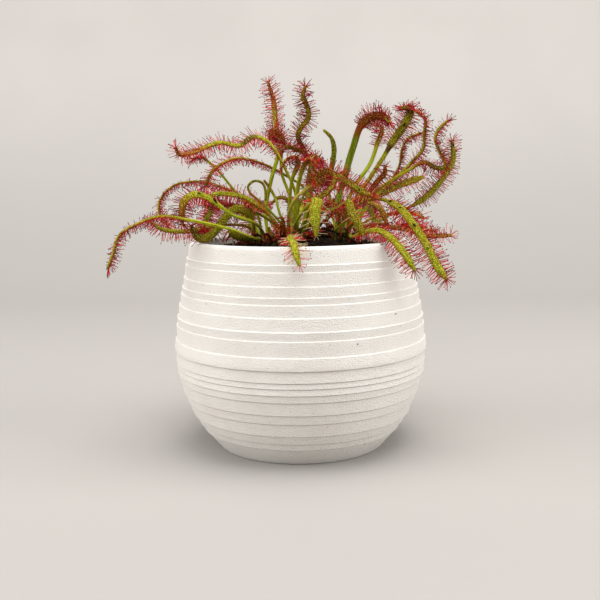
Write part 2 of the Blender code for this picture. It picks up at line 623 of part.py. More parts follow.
def is_clear(shaft, root_at, line, others, taken):
    """Whether a tentacle keeps clear of the pot, of other leaves, of its own leaf and of others."""
    if in_pot(shaft):
        return False
    for points, half in others:
        gaps = np.linalg.norm(shaft[:, None] - points[None], axis=2) - half[None]
        if gaps.min() < TENTACLE_CLEAR:
            return False
    own = np.linalg.norm(line.points - root_at, axis=1) > OWN_REACH
    if own.any():
        gaps = np.linalg.norm(shaft[:, None] - line.points[own][None], axis=2) - line.half[own][None]
        if gaps.min() < TENTACLE_CLEAR:
            return False
    if taken:
        gaps = np.linalg.norm(shaft[:, None] - np.vstack(taken)[None], axis=2)
        return gaps.min() > TENTACLE_CLEAR
    return True


def settle_tentacles(lines):
    """Chooses every leaf's tentacles: those that would touch something else are left out."""
    draw = random.Random(SEED)
    taken = []
    chosen = {}
    for leaf in LEAVES:
        chosen[leaf.name] = []
        if leaf.name in BARE:
            continue
        line = lines[leaf.name]
        others = [(lines[o.name].points, lines[o.name].half) for o in LEAVES if o is not leaf]
        for root, way, length in wanted_tentacles(line.picked(stations(line)), draw):
            shaft = root + way * np.linspace(0.3, 1.0, 6)[:, None] * length
            if is_clear(shaft, root, line, others, taken):
                chosen[leaf.name].append((root, way, length))
                taken.append(shaft)
    return chosen


def tentacle(root, way, length, collection):
    """A three-sided needle that starts inside the blade."""
    shape = bmesh.new()
    bmesh.ops.create_cone(shape, cap_ends=True, segments=3, radius1=TENTACLE_RADIUS * MM, radius2=0.0,
                          depth=length * MM)
    turn = Vector(way).to_track_quat("Z", "Y").to_matrix().to_4x4()
    place = Matrix.Translation(Vector(root + way * length / 2) * MM) @ turn
    bmesh.ops.transform(shape, matrix=place, verts=shape.verts)
    mesh = bpy.data.meshes.new("tentacle")
    shape.to_mesh(mesh)
    shape.free()
    new_object("tentacle", mesh, collection)


def make_leaf(leaf, line, tentacles, collection):
    """One leaf with its tentacles fused to it."""
    obj = leaf_body(leaf, line, collection)
    if tentacles:
        needles = bpy.data.collections.new("needles")
        bpy.context.scene.collection.children.link(needles)
        for root, way, length in tentacles:
            tentacle(root, way, length, needles)
        join_all(obj, needles, "UNION", "MANIFOLD")
    finish(obj, obj.name, LEAF_GREEN)
    return obj


def main():
    """Builds the pot, the soil and the leaves."""
    clear_scene()
    parts = bpy.data.collections.new("potted_sundew")
    bpy.context.scene.collection.children.link(parts)
    roots = settle_roots()
    lines = {leaf.name: middle_line(leaf, roots[leaf.name]) for leaf in LEAVES}
    tentacles = settle_tentacles(lines)
    make_pot(parts)
    make_soil(parts, roots.values())
    for leaf in LEAVES:
        make_leaf(leaf, lines[leaf.name], tentacles[leaf.name], parts)


if __name__ == "__main__":
    main()
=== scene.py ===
"""Looks of a potted sundew: a white turned pot, its dark peat, and the leaves of three rosettes.

The sizes below are in millimetres, in the frame of the solids: +Z up, the origin in the middle of the
pot's flat base, and -Y towards the viewer. Each leaf is rebuilt on the route of its solid, with a soft
cross-section, a midrib, a fan of dewy tentacles along its blade and pale down on its back.
"""

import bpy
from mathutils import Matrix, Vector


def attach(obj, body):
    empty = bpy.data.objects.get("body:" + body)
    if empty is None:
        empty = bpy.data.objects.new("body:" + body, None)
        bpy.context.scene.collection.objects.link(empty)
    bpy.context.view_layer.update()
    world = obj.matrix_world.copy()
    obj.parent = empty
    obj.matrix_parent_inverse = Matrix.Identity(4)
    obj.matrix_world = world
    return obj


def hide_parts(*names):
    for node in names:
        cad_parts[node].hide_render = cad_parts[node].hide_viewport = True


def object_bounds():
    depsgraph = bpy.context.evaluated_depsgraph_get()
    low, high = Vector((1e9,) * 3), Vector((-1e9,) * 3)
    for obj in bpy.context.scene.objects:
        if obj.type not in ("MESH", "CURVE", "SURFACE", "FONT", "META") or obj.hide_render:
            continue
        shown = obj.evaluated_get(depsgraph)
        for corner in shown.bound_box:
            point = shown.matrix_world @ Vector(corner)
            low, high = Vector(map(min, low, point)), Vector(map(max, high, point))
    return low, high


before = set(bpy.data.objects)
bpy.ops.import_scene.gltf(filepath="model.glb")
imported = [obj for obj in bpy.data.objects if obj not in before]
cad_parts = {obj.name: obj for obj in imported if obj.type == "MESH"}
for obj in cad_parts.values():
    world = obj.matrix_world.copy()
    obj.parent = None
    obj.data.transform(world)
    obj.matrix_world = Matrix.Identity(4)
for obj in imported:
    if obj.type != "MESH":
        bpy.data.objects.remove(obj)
CAD_BOX = [list(corner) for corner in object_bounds()]

import logging
import math
from dataclasses import dataclass, field
from enum import Enum

import bpy
import numpy as np
from mathutils import Euler, Vector

MM = 0.001
SEED = 11
GOLDEN_ANGLE = math.radians(137.508)
LOG = logging.getLogger("potted_sundew")
BOX_LOW, BOX_HIGH = np.array(CAD_BOX) / MM
GRAIN_SIDES = 6


def linear(colour: tuple[float, float, float]) -> np.ndarray:
    """Turns a colour as the eye reads it on a screen, 0 to 1, into light values: the sRGB curve.

    Args:
        colour: red, green and blue from 0 to 1.

    Returns:
        The same colour as three light values.
    """
    c = np.asarray(colour, dtype=float)
    return np.where(c <= 0.04045, c / 12.92, ((c + 0.055) / 1.055) ** 2.4)


class Tint(Enum):
    """The leaf colours, as the eye reads them."""

    STRAW = (0.74, 0.68, 0.30)
    LIME = (0.65, 0.67, 0.12)
    GREEN = (0.59, 0.65, 0.07)
    MOSS = (0.43, 0.50, 0.04)
    OLIVE = (0.59, 0.57, 0.06)
    DEEP_OLIVE = (0.53, 0.48, 0.04)
    BRONZE = (0.54, 0.35, 0.03)
    RUST = (0.60, 0.20, 0.04)
    CRIMSON = (0.58, 0.05, 0.03)
    WINE = (0.27, 0.02, 0.01)

    @property
    def light(self) -> np.ndarray:
        """The colour as three light values."""
        return linear(self.value)


STRAW, LIME, GREEN, MOSS, OLIVE, DEEP_OLIVE, BRONZE, RUST, CRIMSON, WINE = Tint


class Run(Enum):
    """The runs of random draws, each with its own start after the seed."""

    RELIEF = 0
    CRUMBS = 2
    CRUMB_PLACES = 3
    CRUMB_RELIEF = 5
    MOSS = 8
    MOSS_PLACES = 9
    BLADE = 100
    FRINGE = 300
    HEADS = 500
    DOWN = 700
    DOWN_LENGTHS = 900
    GNATS = 950
    BITS = 970
    FIBRES = 990

    def seed(self, number: int = 0) -> int:
        """The seed of the run, or of one of its numbered parts."""
        return SEED + self.value + number

    def start(self, number: int = 0) -> np.random.Generator:
        """A fresh generator for the run, or for one of its numbered parts."""
        return np.random.default_rng(self.seed(number))


class Wire:
    """An output socket that can stand in a Python expression of numbers."""

    def __init__(self, board: "Board", socket: bpy.types.NodeSocket) -> None:
        """Keeps the socket and the board that its node is on."""
        self.board = board
        self.socket = socket

    def __add__(self, other: "Wire | float") -> "Wire":
        """Sum."""
        return self.board.maths("ADD", self, other)

    def __radd__(self, other: float) -> "Wire":
        """Sum with a number first."""
        return self.board.maths("ADD", other, self)

    def __sub__(self, other: "Wire | float") -> "Wire":
        """Difference."""
        return self.board.maths("SUBTRACT", self, other)

    def __rsub__(self, other: float) -> "Wire":
        """Difference from a number."""
        return self.board.maths("SUBTRACT", other, self)

    def __mul__(self, other: "Wire | float") -> "Wire":
        """Product."""
        return self.board.maths("MULTIPLY", self, other)

    def __rmul__(self, other: float) -> "Wire":
        """Product with a number first."""
        return self.board.maths("MULTIPLY", other, self)

    def over(self, edge: float, soft: float) -> "Wire":
        """A mask that rises from 0 to 1 as this value passes the edge.

        Args:
            edge: the value at the middle of the rise.
            soft: the width of the rise.

        Returns:
            The mask.
        """
        node = self.board.node("ShaderNodeMapRange", {"interpolation_type": "SMOOTHSTEP"},
                               {"Value": self, "From Min": edge - soft / 2, "From Max": edge + soft / 2})
        return Wire(self.board, node.outputs["Result"])

    def under(self, edge: float, soft: float) -> "Wire":
        """A mask that falls from 1 to 0 as this value passes the edge.

        Args:
            edge: the value at the middle of the fall.
            soft: the width of the fall.

        Returns:
            The mask.
        """
        return 1.0 - self.over(edge, soft)


class Board:
    """The node tree of one material, with its Principled shader."""

    def __init__(self, name: str) -> None:
        """Starts a material with a Principled shader and nothing else."""
        self.material = bpy.data.materials.new(name)
        self.material.use_nodes = True
        self.tree = self.material.node_tree
        self.tree.nodes.clear()
        self.shader = self.node("ShaderNodeBsdfPrincipled")
        self.node("ShaderNodeOutputMaterial", {}, {"Surface": Wire(self, self.shader.outputs["BSDF"])})

    def node(self, kind: str, settings: dict | None = None, inputs: dict | None = None) -> bpy.types.Node:
        """Adds a node: its settings first, then the values or links of its sockets.

        Args:
            kind: the node's type name.
            settings: property name to value; "stops" gives a ramp's places and colours.
            inputs: socket name or number to a Wire, a number, or a colour or vector.

        Returns:
            The new node.
        """
        made = self.tree.nodes.new(kind)
        for key, value in (settings or {}).items():
            if key == "stops":
                self._set_stops(made, value)
            else:
                setattr(made, key, value)
        for key, value in (inputs or {}).items():
            if isinstance(value, Wire):
                self.tree.links.new(value.socket, made.inputs[key])
            else:
                made.inputs[key].default_value = value
        return made

    def _set_stops(self, ramp: bpy.types.Node, stops: tuple) -> None:
        """Gives a ramp its stops, each a place from 0 to 1 and a colour as the eye reads it."""
        elements = ramp.color_ramp.elements
        while len(elements) < len(stops):
            elements.new(0.5)
        for element, (place, colour) in zip(elements, stops):
            element.position = place
            element.color = (*linear(colour), 1.0)

    def maths(self, operation: str, *values: "Wire | float") -> Wire:
        """A Math node on one or two values."""
        made = self.node("ShaderNodeMath", {"operation": operation}, dict(enumerate(values)))
        return Wire(self, made.outputs[0])

    def attribute(self, name: str, output: str = "Fac") -> Wire:
        """A value that the mesh carries."""
        made = self.node("ShaderNodeAttribute", {"attribute_name": name})
        return Wire(self, made.outputs[output])

    def place(self) -> Wire:
        """The point's own place on the object, in metres."""
        return Wire(self, self.node("ShaderNodeTexCoord").outputs["Object"])

    def stretched(self, place: Wire, scale: tuple[float, float, float]) -> Wire:
        """The place multiplied by a number along each axis."""
        made = self.node("ShaderNodeVectorMath", {"operation": "MULTIPLY"}, {0: place, 1: scale})
        return Wire(self, made.outputs["Vector"])

    def noise(self, place: Wire, scale: float, detail: float = 3.0, roughness: float = 0.55) -> Wire:
        """Cloudy noise round 0.5; scale is the number of clouds in a unit of the place."""
        made = self.node("ShaderNodeTexNoise", {}, {"Vector": place, "Scale": scale, "Detail": detail,
                                                    "Roughness": roughness})
        return Wire(self, made.outputs["Fac"])

    def cells(self, place: Wire, scale: float) -> Wire:
        """Cells: the distance to the nearest cell's middle; scale is the number of cells in a unit."""
        made = self.node("ShaderNodeTexVoronoi", {}, {"Vector": place, "Scale": scale})
        return Wire(self, made.outputs["Distance"])

    def blend(self, share: "Wire | float", first: "Wire | tuple", second: "Wire | tuple") -> Wire:
        """A colour between two colours, by a share from 0 to 1.

        Args:
            share: how much of the second colour shows.
            first: a colour, as a Wire or as the eye reads it.
            second: the other colour.

        Returns:
            The mixed colour.
        """
        made = self.node("ShaderNodeMix", {"data_type": "RGBA"}, {0: share})
        for number, colour in ((6, first), (7, second)):
            if isinstance(colour, Wire):
                self.tree.links.new(colour.socket, made.inputs[number])
            else:
                made.inputs[number].default_value = (*linear(colour), 1.0)
        return Wire(self, made.outputs[2])

    def bump(self, height: Wire, depth: float, strength: float = 1.0) -> Wire:
        """A bent normal from a height of 0 to 1 that is depth metres high."""
        made = self.node("ShaderNodeBump", {}, {"Height": height, "Distance": depth, "Strength": strength})
        return Wire(self, made.outputs["Normal"])

    def surface(self, **values: "Wire | float | tuple") -> bpy.types.Material:
        """Sets or links the shader's sockets, named with _ for a space, and gives the material."""
        for name, value in values.items():
            socket = self.shader.inputs[name.replace("_", " ")]
            if isinstance(value, Wire):
                self.tree.links.new(value.socket, socket)
            else:
                socket.default_value = value
        return self.material


@dataclass(frozen=True)
class MattWhite:
    """The pot's matt white: cast, with a fine sandy grain and faint specks."""

    white: tuple = (0.895, 0.883, 0.862)
    warm: tuple = (0.875, 0.857, 0.834)
    speck: tuple = (0.62, 0.58, 0.53)
    # the colour of the painted shade under each lower ledge
    groove: tuple = (0.56, 0.53, 0.49)
    grain: float = 2600.0

    def material(self) -> bpy.types.Material:
        """Makes the finish: white with warm clouds and faint specks, painted shade under each lower ledge,
        over a sandy bump.
        """
        board = Board("matt_white")
        place = board.place()
        clouds = board.noise(place, 70.0, 4.0)
        base = board.blend(clouds.over(0.52, 0.3) * 0.6, self.white, self.warm)
        dots = board.cells(place, 420.0)
        chosen = board.noise(place, 160.0, 0.0)
        specks = dots.under(0.09, 0.06) * chosen.over(0.55, 0.06)
        base = board.blend(specks * 0.5, base, self.speck)
        # painted shade: darkens the band just under each lower ledge
        base = board.blend(board.attribute("painted_ledge_shade") * 0.75, base, self.groove)
        fine = board.noise(place, self.grain, 2.0, 0.62)
        pits = board.cells(place, 2000.0)
        relief = fine * 0.7 + pits.under(0.35, 0.5) * 0.5
        return board.surface(Base_Color=base, Roughness=0.75 + fine * 0.15,
                             Normal=board.bump(relief, 0.00028, 0.8), Specular_IOR_Level=0.2)


@dataclass(frozen=True)
class Peat:
    """Dark wet peat with paler fibres."""

    dark: tuple = (0.055, 0.045, 0.035)
    brown: tuple = (0.15, 0.105, 0.07)
    fibre: tuple = (0.34, 0.25, 0.16)

    def material(self) -> bpy.types.Material:
        """Makes the finish: clouds of two browns, thin fibres and a crumbly bump."""
        board = Board("peat")
        place = board.place()
        clouds = board.noise(place, 420.0, 5.0, 0.65)
        base = board.blend(clouds.over(0.50, 0.25), self.dark, self.brown)
        threads = board.noise(board.stretched(place, (300.0, 1500.0, 900.0)), 1.0, 2.0)
        base = board.blend(threads.over(0.66, 0.06) * 0.6, base, self.fibre)
        crumbs = board.cells(place, 900.0)
        return board.surface(Base_Color=base, Roughness=0.75 + clouds * 0.25,
                             Normal=board.bump(clouds + crumbs, 0.0006, 0.9), Specular_IOR_Level=0.08)


@dataclass(frozen=True)
class LeafSkin:
    """A leaf's skin: the tint that the mesh carries, with streaks, a pale midrib and fine pale pores."""

    pale: tuple = (0.86, 0.81, 0.38)
    dark: tuple = (0.27, 0.25, 0.01)
    flush: tuple = (0.55, 0.10, 0.05)

    def material(self) -> bpy.types.Material:
        """Makes the finish from the tint, the place across and along the leaf, and the sticky side."""
        board = Board("leaf_skin")
        tint = board.attribute("tint", "Color")
        spread = board.attribute("leaf_place", "Vector")
        place = board.place()
        edge = board.attribute("edge")
        sticky = board.attribute("sticky")
        dotted = board.attribute("broad") * 0.75 + 0.25
        streaks = board.noise(board.stretched(spread, (2.6, 0.35, 1.0)), 1.0, 3.0)
        base = board.blend(streaks.over(0.62, 0.25) * 0.22, tint, self.pale)
        base = board.blend(streaks.under(0.42, 0.2) * 0.5, base, self.dark)
        veins = board.noise(board.stretched(spread, (7.0, 0.18, 1.0)), 1.0, 1.0)
        base = board.blend(veins.over(0.62, 0.08) * 0.25, base, self.pale)
        mottle = board.noise(place, 1900.0, 2.0)
        base = board.blend(mottle.over(0.56, 0.14) * dotted * 0.45, base, self.dark)
        red = edge.over(0.78, 0.25) * 0.48 + sticky * mottle.under(0.45, 0.10) * 0.55
        base = board.blend(red, base, self.flush)
        pores = board.cells(place, 2100.0)
        base = board.blend(pores.under(0.26, 0.14) * dotted * 0.60, base, self.pale)
        base = board.blend(pores.over(0.56, 0.14) * dotted * 0.50, base, self.dark)
        relief = veins * 0.4 + pores.under(0.4, 0.4) * 0.8 + mottle * 0.4
        return board.surface(Base_Color=base, Roughness=0.60 + mottle * 0.25,
                             Normal=board.bump(relief, 0.0002, 0.8), Specular_IOR_Level=0.07)


@dataclass(frozen=True)
class Dew:
    """A tentacle: green-red foot, crimson stalk that pales towards the head, and a dark glossy head whose tip
    is painted paler as a sheen.
    """

    foot: tuple = (0.55, 0.28, 0.06)
    stalk: tuple = (0.76, 0.05, 0.08)
    neck: tuple = (0.85, 0.24, 0.28)
    deep: tuple = (0.36, 0.02, 0.04)
    faint: tuple = (0.90, 0.83, 0.62)
    head: tuple = (0.22, 0.01, 0.04)
    # the colour of the painted sheen at the tip of each head
    painted_sheen: tuple = (0.36, 0.03, 0.07)

    def material(self) -> bpy.types.Material:
        """Makes the finish from the share of the way up each tentacle."""
        board = Board("dew")
        rise = board.attribute("rise")
        place = board.place()
        clouds = board.noise(place, 700.0, 2.0)
        # the last stop is a painted sheen on the tip of each head
        stops = ((0.0, self.foot), (0.18, self.stalk), (0.45, self.stalk), (0.76, self.neck),
                 (0.82, self.head), (1.0, self.painted_sheen))
        ramp = board.node("ShaderNodeValToRGB", {"stops": stops}, {"Fac": rise + (clouds - 0.5) * 0.10})
        head = rise.over(0.83, 0.04)
        paler = clouds.over(0.60, 0.2) * (1.0 - head) * 0.5
        base = board.blend(paler, Wire(board, ramp.outputs["Color"]), self.neck)
        tone = board.attribute("tone")
        base = board.blend(tone.over(0.58, 0.3) * 0.85, base, self.deep)
        base = board.blend(tone.under(0.14, 0.2) * (1.0 - head) * 0.9, base, self.faint)
        return board.surface(Base_Color=base, Roughness=0.6 - head * 0.48, Coat_Weight=head * 0.5,
                             Coat_Roughness=0.05, Specular_IOR_Level=0.10)


@dataclass(frozen=True)
class Down:
    """Short pale hairs on stalks and leaf backs."""

    root: tuple = (0.60, 0.58, 0.20)
    tip: tuple = (0.82, 0.76, 0.58)

    def material(self) -> bpy.types.Material:
        """Makes the finish: greenish at the root and pale at the tip."""
        board = Board("down")
        clouds = board.noise(board.place(), 500.0, 1.0)
        base = board.blend(board.attribute("rise") * 0.8 + clouds * 0.2, self.root, self.tip)
        return board.surface(Base_Color=base, Roughness=0.45 + clouds * 0.2, Specular_IOR_Level=0.2)


@dataclass(frozen=True)
class Moss:
    """Small moss shoots, bright at the tips."""

    old: tuple = (0.17, 0.18, 0.05)
    young: tuple = (0.38, 0.40, 0.09)

    def material(self) -> bpy.types.Material:
        """Makes the finish from the share of the way up each shoot."""
        board = Board("moss")
        clouds = board.noise(board.place(), 600.0, 3.0)
        base = board.blend(board.attribute("rise") * 0.7 + clouds * 0.3, self.old, self.young)
        return board.surface(Base_Color=base, Roughness=0.7 + clouds * 0.2,
                             Normal=board.bump(clouds, 0.0002, 0.6), Specular_IOR_Level=0.1)


@dataclass(frozen=True)
class Litter:
    """Withered leaf bits: red-brown, dry and wrinkled."""

    red: tuple = (0.42, 0.13, 0.08)
    brown: tuple = (0.30, 0.19, 0.09)
    # the colour of the painted shade in the creases
    painted_crease_shade: tuple = (0.1517, 0.0999, 0.0861)

    def material(self) -> bpy.types.Material:
        """Makes the finish: red and brown clouds with a wrinkled bump, and painted shade in the creases."""
        board = Board("litter")
        place = board.place()
        clouds = board.noise(place, 380.0, 3.0)
        creases = board.noise(board.stretched(place, (900.0, 900.0, 250.0)), 1.0, 2.0)
        base = board.blend(clouds.over(0.5, 0.2), self.red, self.brown)
        # painted shade: darkens the low places of the creases
        base = board.blend(creases.under(0.42, 0.1) * 0.5, base, self.painted_crease_shade)
        return board.surface(Base_Color=base, Roughness=0.62 + clouds * 0.25,
                             Normal=board.bump(creases, 0.0003, 0.8), Specular_IOR_Level=0.08)


@dataclass(frozen=True)
class GnatBlack:
    """A caught gnat: black-brown with a faint sheen."""

    black: tuple = (0.04, 0.03, 0.025)
    brown: tuple = (0.13, 0.07, 0.05)

    def material(self) -> bpy.types.Material:
        """Makes the finish: two near-blacks in clouds."""
        board = Board("gnat_black")
        clouds = board.noise(board.place(), 1500.0, 2.0)
        base = board.blend(clouds.over(0.55, 0.2), self.black, self.brown)
        return board.surface(Base_Color=base, Roughness=0.50 + clouds * 0.25, Specular_IOR_Level=0.12)


@dataclass(frozen=True)
class Plaster:
    """The plain pale floor and backdrop."""

    pale: tuple = (0.745, 0.732, 0.718)
    shade: tuple = (0.73, 0.717, 0.703)
    floor: tuple = (0.645, 0.632, 0.618)

    def material(self) -> bpy.types.Material:
        """Makes the finish: two near-equal pales in wide clouds."""
        board = Board("plaster")
        clouds = board.noise(board.place(), 9.0, 3.0)
        base = board.blend(clouds.over(0.5, 0.4), self.pale, self.shade)
        rise = Wire(board, board.node("ShaderNodeSeparateXYZ", {}, {0: board.place()}).outputs["Z"])
        base = board.blend(rise.under(0.13, 0.26), base, self.floor)
        return board.surface(Base_Color=base, Roughness=0.9)


@dataclass
class Shell:
    """A surface as whole arrays: points in millimetres, its faces, and the values its points carry."""

    points: np.ndarray
    quads: np.ndarray
    tris: np.ndarray
    values: dict[str, np.ndarray] = field(default_factory=dict)

    @staticmethod
    def joined(shells: list["Shell"]) -> "Shell":
        """Puts several surfaces into one, each with its own points."""
        starts = np.cumsum([0] + [len(shell.points) for shell in shells])
        quads = np.concatenate([shell.quads + start for shell, start in zip(shells, starts)])
        tris = np.concatenate([shell.tris + start for shell, start in zip(shells, starts)])
        names = shells[0].values.keys()
        values = {name: np.concatenate([shell.values[name] for shell in shells]) for name in names}
        return Shell(np.concatenate([shell.points for shell in shells]), quads, tris, values)

    def piece(self, name: str, material: bpy.types.Material, slot: str, *nodes: str) -> bpy.types.Object:
        """Makes the surface a piece of the model.

        Args:
            name: the piece's name.
            material: its finish.
            slot: the name of the material slot that it would belong to; not used.
            nodes: the solids that it stands for.

        Returns:
            The new object, at the origin.
        """
        self.points = np.clip(self.points, BOX_LOW, BOX_HIGH)
        obj = bpy.data.objects.new(name, self.mesh(name))
        bpy.context.scene.collection.objects.link(obj)
        obj.data.materials.append(material)
        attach(obj, "root")
        if nodes:
            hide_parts(*nodes)
        LOG.info("%s: %d triangles", name, 2 * len(self.quads) + len(self.tris))
        return obj

    def mesh(self, name: str) -> bpy.types.Mesh:
        """Turns the arrays into a smooth-shaded mesh in metres."""
        mesh = bpy.data.meshes.new(name)
        mesh.vertices.add(len(self.points))
        mesh.vertices.foreach_set("co", (self.points * MM).astype(np.float32).ravel())
        corners = np.concatenate([self.quads.ravel(), self.tris.ravel()]).astype(np.int32)
        mesh.loops.add(len(corners))
        mesh.loops.foreach_set("vertex_index", corners)
        starts = np.concatenate([np.arange(len(self.quads)) * 4,
                                 4 * len(self.quads) + np.arange(len(self.tris)) * 3]).astype(np.int32)
        mesh.polygons.add(len(starts))
        mesh.polygons.foreach_set("loop_start", starts)
        kinds = {1: ("FLOAT", "value"), 3: ("FLOAT_VECTOR", "vector"), 4: ("FLOAT_COLOR", "color")}
        for key, value in self.values.items():
            width = 1 if value.ndim == 1 else value.shape[1]
            kind, member = kinds[width]
            layer = mesh.attributes.new(key, kind, "POINT")
            layer.data.foreach_set(member, value.astype(np.float32).ravel())
        mesh.update(calc_edges=True)
        mesh.shade_smooth()
        return mesh


def circle(count: int) -> tuple[np.ndarray, np.ndarray]:
    """The cosines and sines of so many angles, evenly spread over one turn."""
    angle = math.tau * np.arange(count) / count
    return np.cos(angle), np.sin(angle)


def turned(line: np.ndarray, turns: int) -> np.ndarray:
    """Turns a line of radius and height about the upright axis: a point is (r cos a, r sin a, z)."""
    c, s = circle(turns)
    return np.stack([line[:, :1] * c, line[:, :1] * s, np.broadcast_to(line[:, 1:], (len(line), turns))],
                    axis=-1)


def loft(grid: np.ndarray, first: np.ndarray, last: np.ndarray, values: dict | None = None) -> Shell:
    """Closes a grid of rings into a shell: rows follow the path, columns go round, a pole at each end.

    Args:
        grid: rows by columns by 3, in millimetres.
        first: the point that closes the first ring.
        last: the point that closes the last ring.
        values: name to values of rows by columns, or rows by columns by 3 or 4; a pole takes its ring's mean.

    Returns:
        The closed shell, its faces outwards where columns go against the path's right-hand turn.
    """
    rows, columns = grid.shape[:2]
    i, j = np.meshgrid(np.arange(rows - 1), np.arange(columns), indexing="ij")
    here, beside = i * columns + j, i * columns + (j + 1) % columns
    quads = np.stack([here, here + columns, beside + columns, beside], axis=-1).reshape(-1, 4)
    ring = np.arange(columns)
    after = (ring + 1) % columns
    low, high, top = rows * columns, rows * columns + 1, (rows - 1) * columns
    tris = np.concatenate([np.stack([np.full(columns, low), ring, after], axis=1),
                           np.stack([np.full(columns, high), top + after, top + ring], axis=1)])
    kept = {}
    for name, value in (values or {}).items():
        flat = value.reshape(rows * columns, *value.shape[2:])
        kept[name] = np.concatenate([flat, value[0].mean(axis=0)[None], value[-1].mean(axis=0)[None]])
    return Shell(np.concatenate([grid.reshape(-1, 3), first[None], last[None]]), quads, tris, kept)


def needles(roots: np.ndarray, ways: np.ndarray, bends: np.ndarray, along: np.ndarray, radii: np.ndarray,
            rise: np.ndarray, sides: int) -> Shell:
    """Many thin shafts at once: a round profile carried along a bent axis, for each root.

    A point at a distance d up a shaft of length L is root + way * d + bend * d * d / L, and its ring has the
    radius that the profile gives there.

    Args:
        roots: shafts by 3, in millimetres.
        ways: shafts by 3, unit directions.
        bends: shafts by 3, how far the tip is bent aside, as a share of the length.
        along: shafts by rings, distances up the shaft; the last one is the tip.
        radii: shafts by rings, the radius of each ring but the last, which is a point.
        rise: rings, the share of the way up that each ring carries.
        sides: corners of a ring.

    Returns:
        One shell with every shaft, closed at both ends.
    """
    count, rings = along.shape
    helper = np.where(np.abs(ways[:, 2:3]) < 0.9, (0.0, 0.0, 1.0), (1.0, 0.0, 0.0))
    second = unit(np.cross(ways, helper))
    first = np.cross(ways, second)
    reach = along[:, :, None]
    centre = roots[:, None] + ways[:, None] * reach + bends[:, None] * reach ** 2 / along[:, -1:, None]
    c, s = circle(sides)
    around = first[:, None] * c[None, :, None] + second[:, None] * s[None, :, None]
    body = centre[:, :-1, None] + around[:, None] * radii[:, :-1, None, None]
    per = (rings - 1) * sides + 2
    points = np.concatenate([body.reshape(count, -1, 3), centre[:, :1], centre[:, -1:]], axis=1)
    model = loft(body[0], centre[0, 0], centre[0, -1])
    starts = (np.arange(count) * per)[:, None, None]
    quads = (model.quads[None] + starts).reshape(-1, 4)
    tris = (model.tris[None] + starts).reshape(-1, 3)
    carried = np.concatenate([np.repeat(rise[:-1], sides), rise[:1], rise[-1:]])
    return Shell(points.reshape(-1, 3), quads, tris, {"rise": np.tile(carried, count)})


def unit(vectors: np.ndarray) -> np.ndarray:
    """The vectors at length one."""
    return vectors / np.linalg.norm(vectors, axis=-1, keepdims=True)


def waves(places: np.ndarray, size: float, count: int, seed: int) -> np.ndarray:
    """Soft random relief of about -1 to 1: a sum of cosine waves in random directions.

    Args:
        places: any shape by 2 or 3, in millimetres.
        size: the length of the shortest wave in millimetres; the longest is four times it.
        count: how many waves are added.
        seed: which relief it is.

    Returns:
        One value for each place.
    """
    draw = np.random.default_rng(seed)
    ways = unit(draw.normal(size=(count, places.shape[-1])))
    pace = math.tau / (size * 4.0 ** draw.random(count))
    start = draw.random(count) * math.tau
    return np.cos(places @ (ways * pace[:, None]).T + start).sum(axis=-1) / math.sqrt(count / 2) / 1.6


